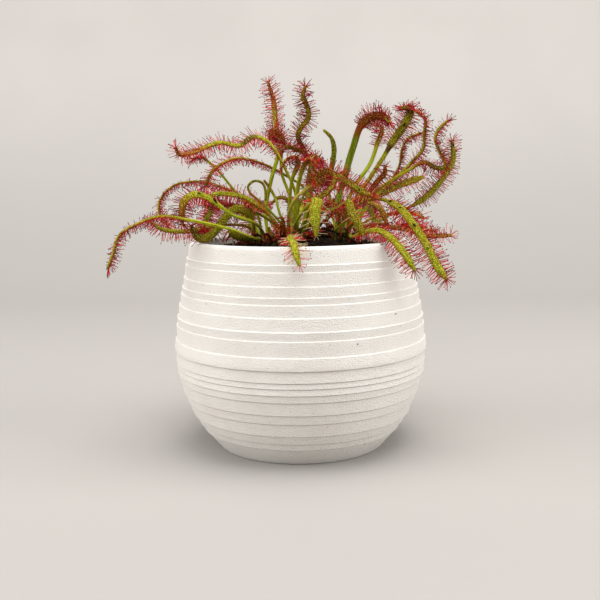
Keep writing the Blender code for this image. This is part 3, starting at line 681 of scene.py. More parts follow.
@dataclass
class Pot:
    """The round pot: nine ledges that step out above its widest place and ten that step in below it."""

    height: float = 73.5
    body: tuple = ((39.1, 73.5), (41.2, 61.0), (43.9, 47.0), (45.0, 36.0), (44.3, 27.0), (42.4, 20.0),
                   (39.2, 12.2), (35.5, 6.5), (30.0, 0.0))
    upper_ledges: tuple = (67.9, 65.6, 61.2, 57.8, 55.5, 51.5, 47.2, 44.3, 39.2)
    lower_ledges: tuple = (35.0, 31.1, 29.2, 27.0, 24.5, 20.0, 16.8, 12.2, 9.0, 6.5)
    widest: float = 36.0
    upper_depth: float = 0.50
    widest_depth: float = 0.55
    lower_depth: float = 0.34
    ledge_soft: float = 0.024
    ledge_lift: float = 0.05
    ring_offsets: tuple = (0.20, 0.10, 0.04, 0.0, -0.04, -0.08, -0.13, -0.20, -0.32)
    # how far under each lower ledge the painted shade lies, and how wide it is
    ledge_shade_drop: float = 0.12
    ledge_shade_width: float = 0.10
    set_in: float = 0.05
    wall: float = 3.2
    floor: float = 4.0
    lip_round: float = 1.2
    turns: int = 256
    grit: tuple = ((-66.0, 42.8, 0.5, 0.42), (-44.0, 50.6, 1.3, 0.26), (-136.0, 54.6, 0.36, 0.30),
                   (-140.0, 60.4, 0.30, 0.26), (-42.0, 46.5, 0.34, 0.24), (-91.0, 24.5, 0.30, 0.22),
                   (-104.0, 17.4, 0.26, 0.2), (-85.0, 21.0, 0.26, 0.2), (-78.0, 15.5, 0.3, 0.2),
                   (-118.0, 58.9, 0.24, 0.2), (-100.0, 33.0, 0.22, 0.18), (-58.0, 31.5, 0.22, 0.18),
                   (20.0, 52.0, 0.4, 0.3), (75.0, 41.0, 0.5, 0.3), (120.0, 57.5, 0.3, 0.25),
                   (165.0, 30.0, 0.4, 0.3))

    @property
    def ledges(self) -> np.ndarray:
        """The heights of all the ledges."""
        return np.array(self.upper_ledges + self.lower_ledges)

    @property
    def floor_radius(self) -> float:
        """The radius of the flat floor inside."""
        return float(self.radius(self.floor)) - 1.5 * self.wall

    def radius(self, height: np.ndarray | float) -> np.ndarray:
        """The outer radius at a height, before the ledges are cut: straight between the named places."""
        radii, heights = np.array(self.body[::-1]).T
        return np.interp(height, heights, radii)

    def stepped(self, height: np.ndarray) -> np.ndarray:
        """The outer radius with its ledges: each is a soft step, the upper ones out and the lower ones in.

        The step is a smooth rise by the ledge's depth over 0.1 mm of height, and between two ledges the
        wall leans back by the same depth, so the mean stays on the body's line.
        """
        edges = np.sort(self.ledges)
        depth = np.where(edges > self.widest, -self.upper_depth, self.lower_depth)
        depth[edges == self.lower_ledges[0]] = self.widest_depth
        step = 1.0 / (1.0 + np.exp(-(height[:, None] - edges[None] + self.ledge_lift) / self.ledge_soft))
        marks = np.concatenate([[0.0], edges, [self.height]])
        total = np.concatenate([[0.0], np.cumsum(depth), [depth.sum()]])
        level = np.concatenate([[0.0], (total[:-2] + total[1:-1]) / 2, [total[-1]]])
        jump = (step * depth).sum(axis=1)
        return self.radius(height) + jump - np.interp(height, marks, level) - self.set_in

    def profile(self) -> np.ndarray:
        """The line that is turned: up the inside, over the rounded lip, down the stepped outside."""
        low, foot, half = self.floor_radius, self.radius(0.0), self.wall / 2
        rise = np.linspace(6.0, self.height - self.lip_round, 24)
        inside = np.stack([self.radius(rise) - self.wall, rise], axis=1)
        angle = np.linspace(math.pi, 0.35, 14)[1:]
        across = np.sign(np.cos(angle)) * np.abs(np.cos(angle)) ** 0.75
        up = np.abs(np.sin(angle)) ** 0.8
        lip = np.stack([self.body[0][0] - half + half * across,
                        self.height - self.lip_round + self.lip_round * up], axis=1)
        near = (self.ledges[:, None] + np.array(self.ring_offsets)).ravel()
        heights = np.concatenate([near, np.linspace(0.9, self.height - self.lip_round * 1.1, 70)])
        heights = np.sort(np.unique(np.round(heights, 3)))[::-1]
        outside = np.stack([self.stepped(heights), heights], axis=1)
        base = [(foot + 0.28, 0.35), (foot, 0.12), (foot - 0.4, 0.0), (foot - 2.0, 0.0), (foot * 0.5, 0.0)]
        return np.concatenate([[(low * 0.5, self.floor), (low, self.floor)], inside, lip, outside, base])

    def build(self, finish: MattWhite) -> bpy.types.Object:
        """Turns the profile about the pot's axis and marks the shade under each lower ledge."""
        line = self.profile()
        # painted shade: a band just under each lower ledge, on the outside of the pot only
        under = (line[:, 1:] - np.array(self.lower_ledges)[None] + self.ledge_shade_drop) / self.ledge_shade_width
        painted_ledge_shade = np.exp(-under ** 2).max(axis=1) * (line[:, 0] > self.radius(line[:, 1]) - 1.5)
        values = {"painted_ledge_shade": np.repeat(painted_ledge_shade[:, None], self.turns, axis=1)}
        shell = loft(turned(line, self.turns), np.array([0.0, 0.0, self.floor]), np.zeros(3), values)
        return shell.piece("pot_turned", finish.material(), "pot_white", "pot")

    def scatter_grit(self, finish: Peat) -> bpy.types.Object:
        """Makes the dark specks of grit in the pot's skin: small six-sided grains, sunk by half."""
        degrees, height, length, width = np.array(self.grit).T
        angle = np.radians(degrees)
        out = np.stack([np.cos(angle), np.sin(angle), 0.0 * angle], axis=1)
        ways = unit(np.stack([-np.sin(angle), np.cos(angle), 0.35 * np.sin(7.0 * height)], axis=1))
        middle = out * (self.stepped(height) + 0.02)[:, None]
        middle[:, 2] = height
        share = np.array([0.0, 0.2, 0.5, 0.8, 1.0])
        radii = width[:, None] / 2 * np.array([0.2, 0.8, 1.0, 0.7, 0.0])
        length = length[:, None]
        roots = middle - ways * length / 2
        shell = needles(roots, ways, np.zeros_like(ways), length * share, radii, share, GRAIN_SIDES)
        return shell.piece("pot_grit", finish.material(), "pot_white")


@dataclass
class Soil:
    """The peat that fills the pot, with crumbs and moss on it."""

    pot: Pot
    edge: float = 68.6
    crown: float = 72.3
    heap_place: tuple = (11.0, 3.0)
    heap_rise: float = 4.4
    heap_reach: float = 14.0
    turns: int = 160
    gap: float = 0.3
    rings: int = 90
    side_heights: tuple = (62.0, 50.0, 36.0, 24.0, 12.0)
    relief: tuple = ((0.42, 2.4, 40), (0.22, 0.9, 50))
    crumb_relief: float = 0.16
    crumbs: int = 1500
    cushions: int = 26
    shoots: int = 520

    @property
    def wall(self) -> float:
        """The radius at which the soil's dome meets the wall."""
        return float(self.pot.radius(self.edge)) - self.pot.wall

    @property
    def rim(self) -> float:
        """The radius of the soil's top, a hair inside the wall."""
        return self.wall - 0.05

    def height(self, x: np.ndarray | float, y: np.ndarray | float) -> np.ndarray | float:
        """The height of the soil's top: a flat dome with a heap right of the middle, level at the wall."""
        inside = 1.0 - (x * x + y * y) / self.wall ** 2
        apart = (x - self.heap_place[0]) ** 2 + (y - self.heap_place[1]) ** 2
        heap = self.heap_rise * np.exp(-apart / self.heap_reach ** 2)
        return self.edge + (self.crown - self.edge + heap) * inside

    def build(self, finish: Peat) -> bpy.types.Object:
        """Makes the filling: a dome roughened by random waves, and plain sides inside the pot's wall."""
        radii = np.concatenate([np.linspace(0.6, self.rim - 0.2, self.rings), [self.rim]])
        rough = np.concatenate([np.ones(self.rings), [0.2]])
        drop = np.array(self.side_heights)
        side = self.pot.radius(drop) - self.pot.wall - self.gap
        low, bottom = self.pot.floor_radius - self.gap, self.pot.floor + self.gap
        line = np.concatenate([np.stack([radii, radii * 0.0], axis=1), np.stack([side, drop], axis=1),
                               [(low, bottom), (low * 0.5, bottom)]])
        flat = turned(line, self.turns)[..., :2]
        relief = sum(rise * waves(flat, size, count, Run.RELIEF.seed(k))
                     for k, (rise, size, count) in enumerate(self.relief))
        share = np.concatenate([rough, np.zeros(len(line) - len(rough))])
        dome = self.height(flat[..., 0], flat[..., 1])
        plain = np.where(np.arange(len(line))[:, None] < len(radii), dome, line[:, 1:])
        grid = np.concatenate([flat, (plain + relief * share[:, None])[..., None]], axis=-1)
        shell = loft(grid, np.array([0.0, 0.0, self.height(0.0, 0.0)]), np.array([0.0, 0.0, bottom]))
        return shell.piece("peat_fill", finish.material(), "soil", "soil")

    def strewn(self, count: int, run: Run, inner: float, outer: float) -> np.ndarray:
        """Random places on the soil between two radii, evenly spread."""
        draw = run.start()
        radius = np.sqrt(draw.uniform(inner ** 2, outer ** 2, count))
        angle = draw.uniform(0.0, math.tau, count)
        x, y = radius * np.cos(angle), radius * np.sin(angle)
        return np.stack([x, y, self.height(x, y)], axis=1)

    def scatter(self, finish: Peat) -> bpy.types.Object:
        """Makes the crumbs: small rounded grains, each a six-sided loft knocked out of shape."""
        draw = Run.CRUMBS.start()
        places = self.strewn(self.crumbs, Run.CRUMB_PLACES, 0.0, self.rim - 0.8)
        size = draw.uniform(0.25, 0.62, self.crumbs) * np.where(draw.random(self.crumbs) < 0.08, 1.8, 1.0)
        turn = draw.uniform(0.0, math.tau, self.crumbs)
        lean = np.stack([np.cos(turn), np.sin(turn), draw.uniform(-0.3, 0.3, self.crumbs)], axis=1)
        share = np.array([-1.0, -0.7, 0.0, 0.7, 1.0])
        along = size[:, None] * (share + 1.0) * draw.uniform(0.8, 1.5, (self.crumbs, 1))
        form = np.array([0.15, 0.8, 1.0, 0.75, 0.1])
        radii = size[:, None] * form * draw.uniform(0.7, 1.1, (self.crumbs, len(form)))
        roots = places - unit(lean) * along[:, -1:] / 2 + np.array([0.0, 0.0, 0.15])
        shell = needles(roots, unit(lean), np.zeros_like(roots), along, radii, share * 0.5 + 0.5, GRAIN_SIDES)
        push = [waves(shell.points, 0.8, 20, Run.CRUMB_RELIEF.seed(axis)) for axis in range(3)]
        shell.points += self.crumb_relief * np.stack(push, axis=1)
        return shell.piece("peat_crumbs", finish.material(), "soil")

    def grow_moss(self, finish: Moss) -> bpy.types.Object:
        """Makes the moss: small pointed shoots in cushions near the crowns and along the wall."""
        draw = Run.MOSS.start()
        hearts = self.strewn(self.cushions, Run.MOSS_PLACES, 8.0, self.rim - 2.5)
        home = hearts[draw.integers(0, len(hearts), self.shoots)]
        flat = home[:, :2] + draw.normal(scale=1.5, size=(self.shoots, 2))
        radius = np.hypot(*flat.T)
        x, y = (flat * (np.minimum(radius, self.rim - 0.6) / radius)[:, None]).T
        roots = np.stack([x, y, self.height(x, y) - 0.3], axis=1)
        ways = unit(np.concatenate([draw.normal(scale=0.35, size=(self.shoots, 2)),
                                    np.ones((self.shoots, 1))], axis=1))
        length = draw.uniform(0.9, 2.1, self.shoots)
        share = np.array([0.0, 0.3, 0.6, 0.85, 1.0])
        radii = np.array([0.16, 0.30, 0.26, 0.14, 0.0]) * draw.uniform(0.7, 1.2, (self.shoots, 1))
        shell = needles(roots, ways, draw.normal(scale=0.15, size=roots.shape), length[:, None] * share,
                        radii, share, GRAIN_SIDES)
        return shell.piece("moss_shoots", finish.material(), "soil")


@dataclass(frozen=True)
class Leaf:
    """A leaf: its rosette, where its blade starts along its route from 0 to 1, the blade's width, the way its
    sticky face looks at mid blade, its route above the soil, its colours from root to tip, the stalk's width,
    the length over which the blade tapers to its tip, how thick its tentacles stand, 1 for a full fringe, and
    their tone, 0 for pale and 1 for maroon. A bare leaf has none and a shaggy one has them all round."""

    name: str
    crown: str
    blade_from: float
    width: float
    face: tuple[float, float, float]
    route: tuple[tuple[float, float, float], ...]
    colours: tuple[tuple[float, Tint], ...]
    stalk: float = 1.1
    taper: float = 4.5
    dew: float = 1.0
    tone: float = 0.5
    bare: bool = False
    shaggy: bool = False


LEAVES = (
    Leaf("left_hook", "middle", 0.42, 2.0, (0, 1, -1.2),
         ((-1, -6, 89), (-4, -7, 97), (-10, -9, 107), (-15, -11, 109), (-20, -13, 106), (-26, -15, 107),
          (-33, -18, 104.5), (-37, -21, 103), (-39, -22, 103), (-40, -22.3, 105.5)),
         ((0, MOSS), (0.3, GREEN), (0.43, OLIVE), (0.5, LIME), (0.56, LIME), (0.6, WINE), (0.64, WINE),
          (0.68, OLIVE), (0.8, OLIVE), (0.86, RUST), (0.93, CRIMSON), (1, WINE)), taper=7.0, tone=0.45),
    Leaf("left_thin", "left", 0.86, 2.0, (0, -0.5, -1),
         ((-15, -1, 83), (-23, 2, 91), (-28, 4, 97), (-32, 5, 101), (-35, 6, 103), (-38, 5, 102)),
         ((0, MOSS), (0.7, GREEN), (0.86, OLIVE), (0.92, RUST), (1, CRIMSON)), stalk=0.9),
    Leaf("left_high", "middle", 0.5, 1.3, (0, 0.3, -1),
         ((-1, 10, 82), (2, 13, 91), (-3, 13, 95), (-15, 10, 101), (-23, 4, 102), (-30, -1, 98),
          (-33, -3, 92)),
         ((0, MOSS), (0.42, MOSS), (0.52, OLIVE), (0.76, OLIVE), (0.88, BRONZE), (1, WINE)), stalk=0.95),
    Leaf("left_bow", "left", 0.36, 1.3, (1, 0.2, -0.2),
         ((-22, 12, 89), (-29, 16, 92), (-35, 18, 94), (-41, 18, 94), (-46, 17, 93), (-50, 16, 90),
          (-52, 14, 86), (-51, 12, 81), (-48, 10, 78)),
         ((0, MOSS), (0.3, OLIVE), (0.42, OLIVE), (0.6, GREEN), (0.74, OLIVE), (0.79, WINE), (0.84, OLIVE),
          (1, BRONZE)), stalk=0.95),
    Leaf("left_low", "left", 0.48, 1.6, (0, 1, -0.6),
         ((-18, -3, 78), (-25, -4, 79), (-33, -5, 78), (-38, -5, 77), (-43, -6, 77), (-48, -7, 78),
          (-52, -8, 81)),
         ((0, BRONZE), (0.45, DEEP_OLIVE), (0.85, OLIVE), (1, BRONZE)), stalk=0.95),
    Leaf("left_fold", "left", 0.36, 3.0, (0, 1, 0.6),
         ((-16, -9, 80), (-18, -13, 84), (-21, -15, 85), (-24, -16, 83), (-27, -17, 79), (-31, -19, 75.5),
          (-34, -20, 76), (-36, -20, 80)),
         ((0, MOSS), (0.3, DEEP_OLIVE), (0.6, OLIVE), (0.85, DEEP_OLIVE), (0.93, WINE), (1, WINE)),
         taper=7.0, dew=0.7, tone=0.6),
    Leaf("left_rim", "left", 0.4, 2.8, (0, 1, 0.5),
         ((-18, -11, 74.5), (-21.5, -14, 75.5), (-24, -16, 77.5)),
         ((0, BRONZE), (0.5, DEEP_OLIVE), (1, OLIVE)), dew=0.5, tone=0.3),
    Leaf("left_claw", "left", 0.6, 2.7, (0.6, 1, -0.2),
         ((-15, -15, 80), (-22, -20, 83), (-26, -22, 86), (-30, -24, 89), (-34, -26, 90), (-37, -27, 88),
          (-38, -27, 84), (-38, -26, 80)),
         ((0, MOSS), (0.35, DEEP_OLIVE), (0.5, GREEN), (0.8, OLIVE), (0.93, RUST), (1, CRIMSON)), taper=8.0,
         tone=0.65),
    Leaf("left_bright", "middle", 0.45, 2.0, (0, 1, -0.8),
         ((-8.5, -10, 80.5), (-14.5, -12, 86.3), (-18, -12.5, 88.4), (-21.5, -13, 89.5), (-27, -15, 90),
          (-31, -17, 89)),
         ((0, MOSS), (0.3, GREEN), (0.45, RUST), (0.6, OLIVE), (0.8, OLIVE), (1, LIME))),
    Leaf("left_small", "middle", 0.52, 1.9, (0, 0.5, 1),
         ((-7.5, -4.5, 78.2), (-11, -6, 81), (-15, -7, 83.4), (-20, -7, 85.3), (-24, -7, 86), (-28, -8, 85),
          (-31, -8, 85), (-33, -8, 87)),
         ((0, MOSS), (0.5, DEEP_OLIVE), (0.8, BRONZE), (1, CRIMSON)), dew=0.7, tone=0.6),
    Leaf("left_trailing", "left", 0.55, 1.5, (0.8, 0.3, -0.8),
         ((-15.8, -13.5, 74.8), (-22.6, -23, 78.4), (-29, -27, 80.4), (-35.9, -29.2, 82), (-45, -26, 83),
          (-52, -24, 81), (-59, -24, 77), (-61, -26, 71), (-63, -26, 66)),
         ((0, GREEN), (0.12, LIME), (0.47, LIME), (0.6, OLIVE), (1, OLIVE)), stalk=1.0, tone=0.65),
    Leaf("bare_loop", "middle", 0.6, 0.9, (0, -1, 0.3),
         ((-6.5, -2, 79.3), (-11.3, -1, 84.6), (-14.4, -1, 87.5), (-17.2, -1, 90), (-17.9, -1, 92.1),
          (-16, 0, 94), (-13.7, 1, 93.9), (-12.3, 2, 92.5), (-11.8, 2, 89.8), (-11.9, 2, 87)),
         ((0, MOSS), (0.6, MOSS), (1, GREEN)), stalk=0.9, bare=True),
    Leaf("bare_stalk", "middle", 0.7, 1.1, (0, -1, 0),
         ((-7, 1, 83), (-8, 2, 87), (-10, 3.5, 91), (-12.5, 4.5, 94.5)),
         ((0, GREEN), (0.7, GREEN), (0.88, OLIVE), (1, CRIMSON)), stalk=0.95, bare=True),
    Leaf("tall_spire", "left", 0.62, 2.2, (-0.5, -1, 0),
         ((-12, 5, 84), (-10, 6, 94), (-7, 7, 105), (-8, 13, 113), (-9, 20, 124), (-11, 22, 131)),
         ((0, GREEN), (0.3, LIME), (0.55, GREEN), (0.62, BRONZE), (0.65, WINE), (0.68, OLIVE), (0.8, OLIVE),
          (0.87, RUST), (1, CRIMSON)), stalk=1.6, taper=14.0, dew=0.8, tone=0.42),
    Leaf("curled_fist", "middle", 0.72, 2.8, (0, -1, 0.3),
         ((-3, 2, 88), (-6, 4, 97), (-6, 4, 105), (-6, 2, 109), (-9, 0, 111), (-10, -2, 108)),
         ((0, GREEN), (0.6, OLIVE), (0.7, RUST), (0.8, CRIMSON), (1, CRIMSON)), dew=1.5, tone=0.42,
         shaggy=True),
    Leaf("bridge", "middle", 0.62, 1.9, (0, 0.6, 1),
         ((3.5, 2, 82), (5, 5, 92), (6, 7, 99), (4, 6, 102.5), (1, 4, 104.5), (-2, 1, 105.5),
          (-5, -2, 106.5)),
         ((0, GREEN), (0.5, BRONZE), (0.7, RUST), (1, BRONZE))),
    Leaf("tall_wave", "middle", 0.6, 2.0, (-0.6, -1, 0),
         ((4, 7, 84), (5, 12, 95), (3, 14, 104), (0, 14, 110), (1, 13, 113), (4, 12, 117), (3, 11, 122),
          (2, 11, 124), (3, 10, 128)),
         ((0, GREEN), (0.52, GREEN), (0.58, RUST), (0.62, WINE), (0.67, WINE), (0.71, OLIVE), (0.87, OLIVE),
          (0.9, WINE), (0.93, OLIVE), (1, BRONZE)), taper=6.0, tone=0.6),
    Leaf("small_arch", "middle", 0.66, 1.9, (0, -0.5, -1),
         ((-3, -9, 89), (-2, -11, 95), (0, -12, 100), (-1, -13, 102), (-4, -14, 101), (-6, -15, 98)),
         ((0, GREEN), (0.6, OLIVE), (0.8, BRONZE), (1, OLIVE)), dew=0.7),
    Leaf("front_tall", "middle", 0.78, 2.6, (0.5, -0.5, 1),
         ((-1, -12, 82), (0, -15, 93), (2, -17, 99), (4, -19, 101), (6, -20, 99)),
         ((0, GREEN), (0.45, LIME), (0.75, OLIVE), (0.9, RUST), (1, CRIMSON)), stalk=1.7, dew=0.6),
    Leaf("front_dark", "middle", 0.72, 2.4, (0, -1, 1),
         ((3, 0, 85), (5, 1, 93), (8, 1, 98), (7, -1, 101), (5, -4, 102), (2, -6, 101)),
         ((0, MOSS), (0.6, OLIVE), (0.8, RUST), (1, CRIMSON)), dew=0.8, tone=0.75),
    Leaf("front_broad", "middle", 0.45, 2.8, (0, 1, 0),
         ((3, -8, 84), (4, -9, 94), (5, -11, 99), (6, -13, 102), (8, -15, 100)),
         ((0, GREEN), (0.4, LIME), (0.8, OLIVE), (1, RUST)), dew=0.6),
    Leaf("green_horn", "right", 0.5, 2.0, (0.3, 1, 0),
         ((12, 8, 84), (11, 9, 91), (12, 9, 98), (13, 8, 105), (12, 6, 109), (9, 4, 112)),
         ((0, LIME), (0.3, GREEN), (0.7, MOSS), (1, GREEN)), taper=12.0, bare=True),
    Leaf("crook", "right", 0.74, 3.3, (0.48, 0.64, 0.6),
         ((14, 6, 85), (17, 8, 96), (20, 8, 106), (22.5, 6, 113), (26, 3, 116), (30, 0, 116), (32, -3, 114)),
         ((0, MOSS), (0.66, MOSS), (0.69, BRONZE), (0.73, CRIMSON), (0.8, RUST), (0.84, CRIMSON),
          (0.95, CRIMSON), (0.97, GREEN), (1, LIME)), stalk=2.4, dew=1.7, tone=0.42, shaggy=True),
    Leaf("under_crook", "right", 0.8, 1.9, (-0.7, -1, 0),
         ((17, 3, 85), (21, 4, 93), (26, 6, 100), (29, 8, 108), (30.5, 9, 112), (29, 10, 114)),
         ((0, MOSS), (0.68, GREEN), (0.82, OLIVE), (0.9, RUST), (1, WINE)), stalk=1.5, tone=0.35),
    Leaf("right_folded", "right", 0.66, 2.9, (0.2, 1, 0),
         ((20, 12, 85), (26, 14, 94), (32, 15, 103), (35, 15, 108), (38.5, 13, 113), (41, 11, 118.5),
          (39.5, 9, 120), (37, 7, 119.5)),
         ((0, GREEN), (0.3, LIME), (0.61, LIME), (0.64, WINE), (0.67, WINE), (0.69, OLIVE),
          (0.78, DEEP_OLIVE), (0.86, OLIVE), (0.9, WINE), (0.94, CRIMSON), (0.97, LIME), (1, LIME)),
         stalk=1.7, taper=3.0, dew=1.1),
    Leaf("right_ear", "right", 0.42, 1.6, (1, 0.2, 0),
         ((26, 8, 86), (35, 9, 94), (41, 8, 100), (45, 6, 105), (45, 4, 110), (45, 2, 115), (41, 0, 118)),
         ((0, GREEN), (0.4, OLIVE), (0.62, OLIVE), (0.66, WINE), (0.7, OLIVE), (0.86, OLIVE), (0.93, WINE),
          (1, LIME))),
    Leaf("right_hoop", "right", 0.45, 1.5, (1, 0, -0.3),
         ((26, 14, 85), (35, 18, 94), (38, 19, 99), (39, 19, 105), (41, 18, 109), (46, 16, 111)),
         ((0, GREEN), (0.45, OLIVE), (0.9, OLIVE), (1, BRONZE))),
    Leaf("right_zigzag", "right", 0.58, 1.8, (1, 0, 0.5),
         ((21, 4, 85), (29, 4, 91), (39, 4, 97), (45, 3, 100), (49, 2, 98), (52, 1, 98), (52, 0, 100),
          (50, -1, 103), (48, -2, 108), (49, -3, 111), (52, -4, 114)),
         ((0, GREEN), (0.4, OLIVE), (0.54, OLIVE), (0.6, CRIMSON), (0.68, WINE), (0.74, OLIVE), (1, OLIVE)),
         tone=0.6),
    Leaf("right_sickle", "right", 0.52, 2.5, (-0.3, 0.9, 0.2),
         ((26, 6, 77.5), (33, 10, 81), (39, 12, 83), (45, 13, 86), (50, 14, 90), (54, 14, 95), (57, 13, 101),
          (56, 10, 108)),
         ((0, MOSS), (0.25, GREEN), (0.5, DEEP_OLIVE), (0.8, OLIVE), (0.96, OLIVE), (1, WINE)), taper=12.0),
    Leaf("right_back", "right", 0.45, 2.8, (0, -1, 0.2),
         ((20, 18, 83), (26, 22, 87), (32, 24, 89), (39, 27, 92), (49, 31, 95)),
         ((0, GREEN), (0.45, OLIVE), (0.5, WINE), (0.55, DEEP_OLIVE), (1, OLIVE)), dew=0.6, tone=0.4),
    Leaf("right_tuft", "right", 0.62, 1.9, (0, -1, 0.3),
         ((19, -1, 84), (25, -3, 90), (28, -4, 94), (30, -5, 96), (30, -6, 99)),
         ((0, MOSS), (0.5, BRONZE), (0.7, RUST), (1, CRIMSON)), dew=0.8, tone=0.65),
    Leaf("front_dotted", "middle", 0.52, 2.9, (0.2, 1, -0.4),
         ((-3.4, -12.5, 83.2), (-0.6, -17.5, 88.6), (4, -20, 91.9), (7.8, -20, 93.8), (11.5, -19, 95.6),
          (15.5, -17.5, 93.8), (19, -17, 91.5), (22, -17, 89.8), (25, -17.5, 88.4)),
         ((0, BRONZE), (0.3, STRAW), (0.5, STRAW), (0.56, BRONZE), (0.66, OLIVE), (0.8, BRONZE),
          (0.9, OLIVE), (1, RUST)), dew=1.3, tone=0.5, shaggy=True),
    Leaf("right_long", "right", 0.49, 2.7, (0.2, 1, -0.4),
         ((19.5, -5, 79.5), (19.5, -10.5, 84.5), (22.5, -13, 86.8), (26.5, -15, 87.6), (30, -18, 86.8),
          (33.4, -22, 84.6), (37, -28, 79.6), (40.6, -32, 73.4), (44, -34, 66.4), (47, -35, 62)),
         ((0, MOSS), (0.36, MOSS), (0.46, DEEP_OLIVE), (0.6, OLIVE), (0.8, OLIVE), (0.95, LIME), (1, RUST)),
         stalk=1.2),
    Leaf("right_rim", "right", 0.45, 2.6, (-0.3, 1, -0.3),
         ((18, -17, 75), (22, -22, 77), (26, -25, 77.5), (30, -29, 75), (34, -32, 70), (37, -33, 65)),
         ((0, BRONZE), (0.4, OLIVE), (0.7, OLIVE), (1, LIME))),
    Leaf("right_strap", "middle", 0.5, 2.8, (0, 1, 0),
         ((4, -13, 79), (7, -17, 83), (13, -22, 85), (16, -26, 87), (17, -28, 84), (19, -29, 80),
          (21, -28, 76)),
         ((0, MOSS), (0.4, BRONZE), (0.7, DEEP_OLIVE), (1, DEEP_OLIVE)), dew=0.35, tone=0.45),
    Leaf("right_curl", "right", 0.4, 2.4, (-0.3, 0.9, -0.7),
         ((16, -4, 82), (18, -6, 86), (21, -8, 88), (25, -11, 86), (28, -13, 84), (30, -14, 79)),
         ((0, MOSS), (0.38, OLIVE), (0.68, GREEN), (0.8, BRONZE), (1, RUST)), dew=0.55, tone=0.5),
    Leaf("front_curl", "middle", 0.46, 2.3, (-1, -0.4, 0),
         ((2.8, -14.5, 82), (3.8, -20, 86), (5.6, -24, 88), (8.5, -27, 89.7), (11, -29, 92.2),
          (11.7, -29, 94.7), (10.5, -28, 96.7), (8.3, -27, 96.9), (6, -27, 95.4), (4.7, -28, 93.5)),
         ((0, GREEN), (0.4, OLIVE), (0.75, OLIVE), (0.88, BRONZE), (1, CRIMSON)), dew=0.8, tone=0.6),
    Leaf("front_strap", "middle", 0.66, 3.9, (0, 1, 0),
         ((-0.8, -16.5, 80.5), (1.6, -22, 84.4), (4, -26, 86.8), (5.4, -30, 88.2), (5.8, -33, 87.2),
          (5.1, -34, 85.1), (5.1, -34.5, 82.3), (5.2, -34, 79.1), (5.4, -33, 76.2)),
         ((0, GREEN), (0.5, GREEN), (0.62, DEEP_OLIVE), (0.74, OLIVE), (0.9, LIME), (1, OLIVE)), taper=9.0,
         dew=0.3, tone=0.15),
    Leaf("front_tongue", "middle", 0.55, 2.3, (0, 1, -0.3),
         ((-3, -25, 76), (-3, -34, 76), (-2, -40, 75), (-1, -43, 71.5), (0, -44, 68)),
         ((0, GREEN), (0.5, OLIVE), (0.7, OLIVE), (0.9, LIME), (1, OLIVE)), dew=0.55, tone=0.16),
    Leaf("right_end", "right", 0.72, 2.6, (0, -0.3, 1),
         ((24, 3, 79), (29, 5, 81), (36, 4, 82), (41, 3, 82), (45, 0, 80)),
         ((0, GREEN), (0.7, RUST), (0.85, OLIVE), (1, OLIVE)), dew=0.5),
    Leaf("right_brown", "right", 0.45, 2.3, (0, -0.7, 1),
         ((23, -8, 78), (28, -10, 79), (31, -12, 78), (37, -14, 77), (44, -15, 75), (52, -15, 75)),
         ((0, BRONZE), (0.45, BRONZE), (0.7, RUST), (1, BRONZE)), dew=0.7),
    Leaf("right_red", "right", 0.6, 1.9, (0, -0.7, 1),
         ((24, -1, 76), (31, -2, 77), (37, -3, 78), (42, -4, 77), (48, -5, 76)),
         ((0, BRONZE), (0.5, RUST), (0.75, CRIMSON), (1, WINE)), dew=0.6, tone=0.7, shaggy=True),
    Leaf("right_young", "right", 0.6, 2.2, (0, -1, 0),
         ((13, -10, 77), (16, -12, 81), (14, -13, 84), (11, -13, 83), (9, -13, 80)),
         ((0, GREEN), (0.5, OLIVE), (0.8, BRONZE), (1, CRIMSON)), dew=0.45),
    Leaf("heart_curl", "right", 0.58, 2.2, (0, -1, 0.4),
         ((14, -4, 78), (14, -6, 83), (11, -8, 86), (8, -8, 84), (7, -8, 81)),
         ((0, GREEN), (0.5, BRONZE), (0.7, RUST), (1, CRIMSON)), dew=0.45, tone=0.7),
    Leaf("inner_curl", "middle", 0.55, 2.0, (0, -0.5, 1),
         ((-2.7, 4.6, 79), (-3.2, 8, 83), (-4, 9, 87), (-7, 9, 88), (-10, 9, 86)),
         ((0, GREEN), (0.5, OLIVE), (0.85, DEEP_OLIVE), (1, BRONZE)), dew=0.5, tone=0.35),
    Leaf("sprout_red", "middle", 0.35, 2.2, (0, -1, 0),
         ((-5.5, -14, 76), (-5.5, -16.5, 79), (-5.5, -18, 82)),
         ((0, BRONZE), (0.3, RUST), (0.6, CRIMSON), (1, CRIMSON)), dew=0.6, tone=0.5),
    Leaf("sprout_green", "middle", 0.35, 2.0, (0, -1, 0),
         ((-9.5, -10.5, 75.5), (-10.5, -13, 78.5)),
         ((0, GREEN), (0.5, LIME), (1, LIME)), dew=0.3, tone=0.1),
    Leaf("back_left", "left", 0.45, 2.4, (0, 1, 1),
         ((-18, 12, 79), (-26, 22, 84), (-32, 32, 85), (-37, 41, 80), (-40, 47, 73)),
         ((0, GREEN), (0.45, OLIVE), (0.85, OLIVE), (1, RUST))),
    Leaf("back_middle_left", "middle", 0.48, 2.3, (0, 1, 1),
         ((-10, 10, 78.5), (-12, 22, 84), (-16, 33, 85), (-19, 42, 80), (-20, 47, 73)),
         ((0, MOSS), (0.45, OLIVE), (0.9, LIME), (1, OLIVE))),
    Leaf("back_middle", "middle", 0.48, 2.4, (0, 1, 1),
         ((0, 14, 79), (1, 25, 84), (1, 35, 86), (0, 44, 83), (-2, 50, 76)),
         ((0, GREEN), (0.5, OLIVE), (0.8, OLIVE), (1, CRIMSON))),
    Leaf("back_middle_right", "right", 0.46, 2.3, (0, 1, 1),
         ((13, 14, 79), (13, 24, 84), (14, 34, 86), (17, 43, 83), (20, 49, 76)),
         ((0, GREEN), (0.45, DEEP_OLIVE), (0.9, OLIVE), (1, BRONZE))),
    Leaf("back_right", "right", 0.46, 2.4, (0, 1, 1),
         ((20, 16, 79), (24, 26, 83), (28, 36, 83), (31, 44, 78), (33, 49, 71)),
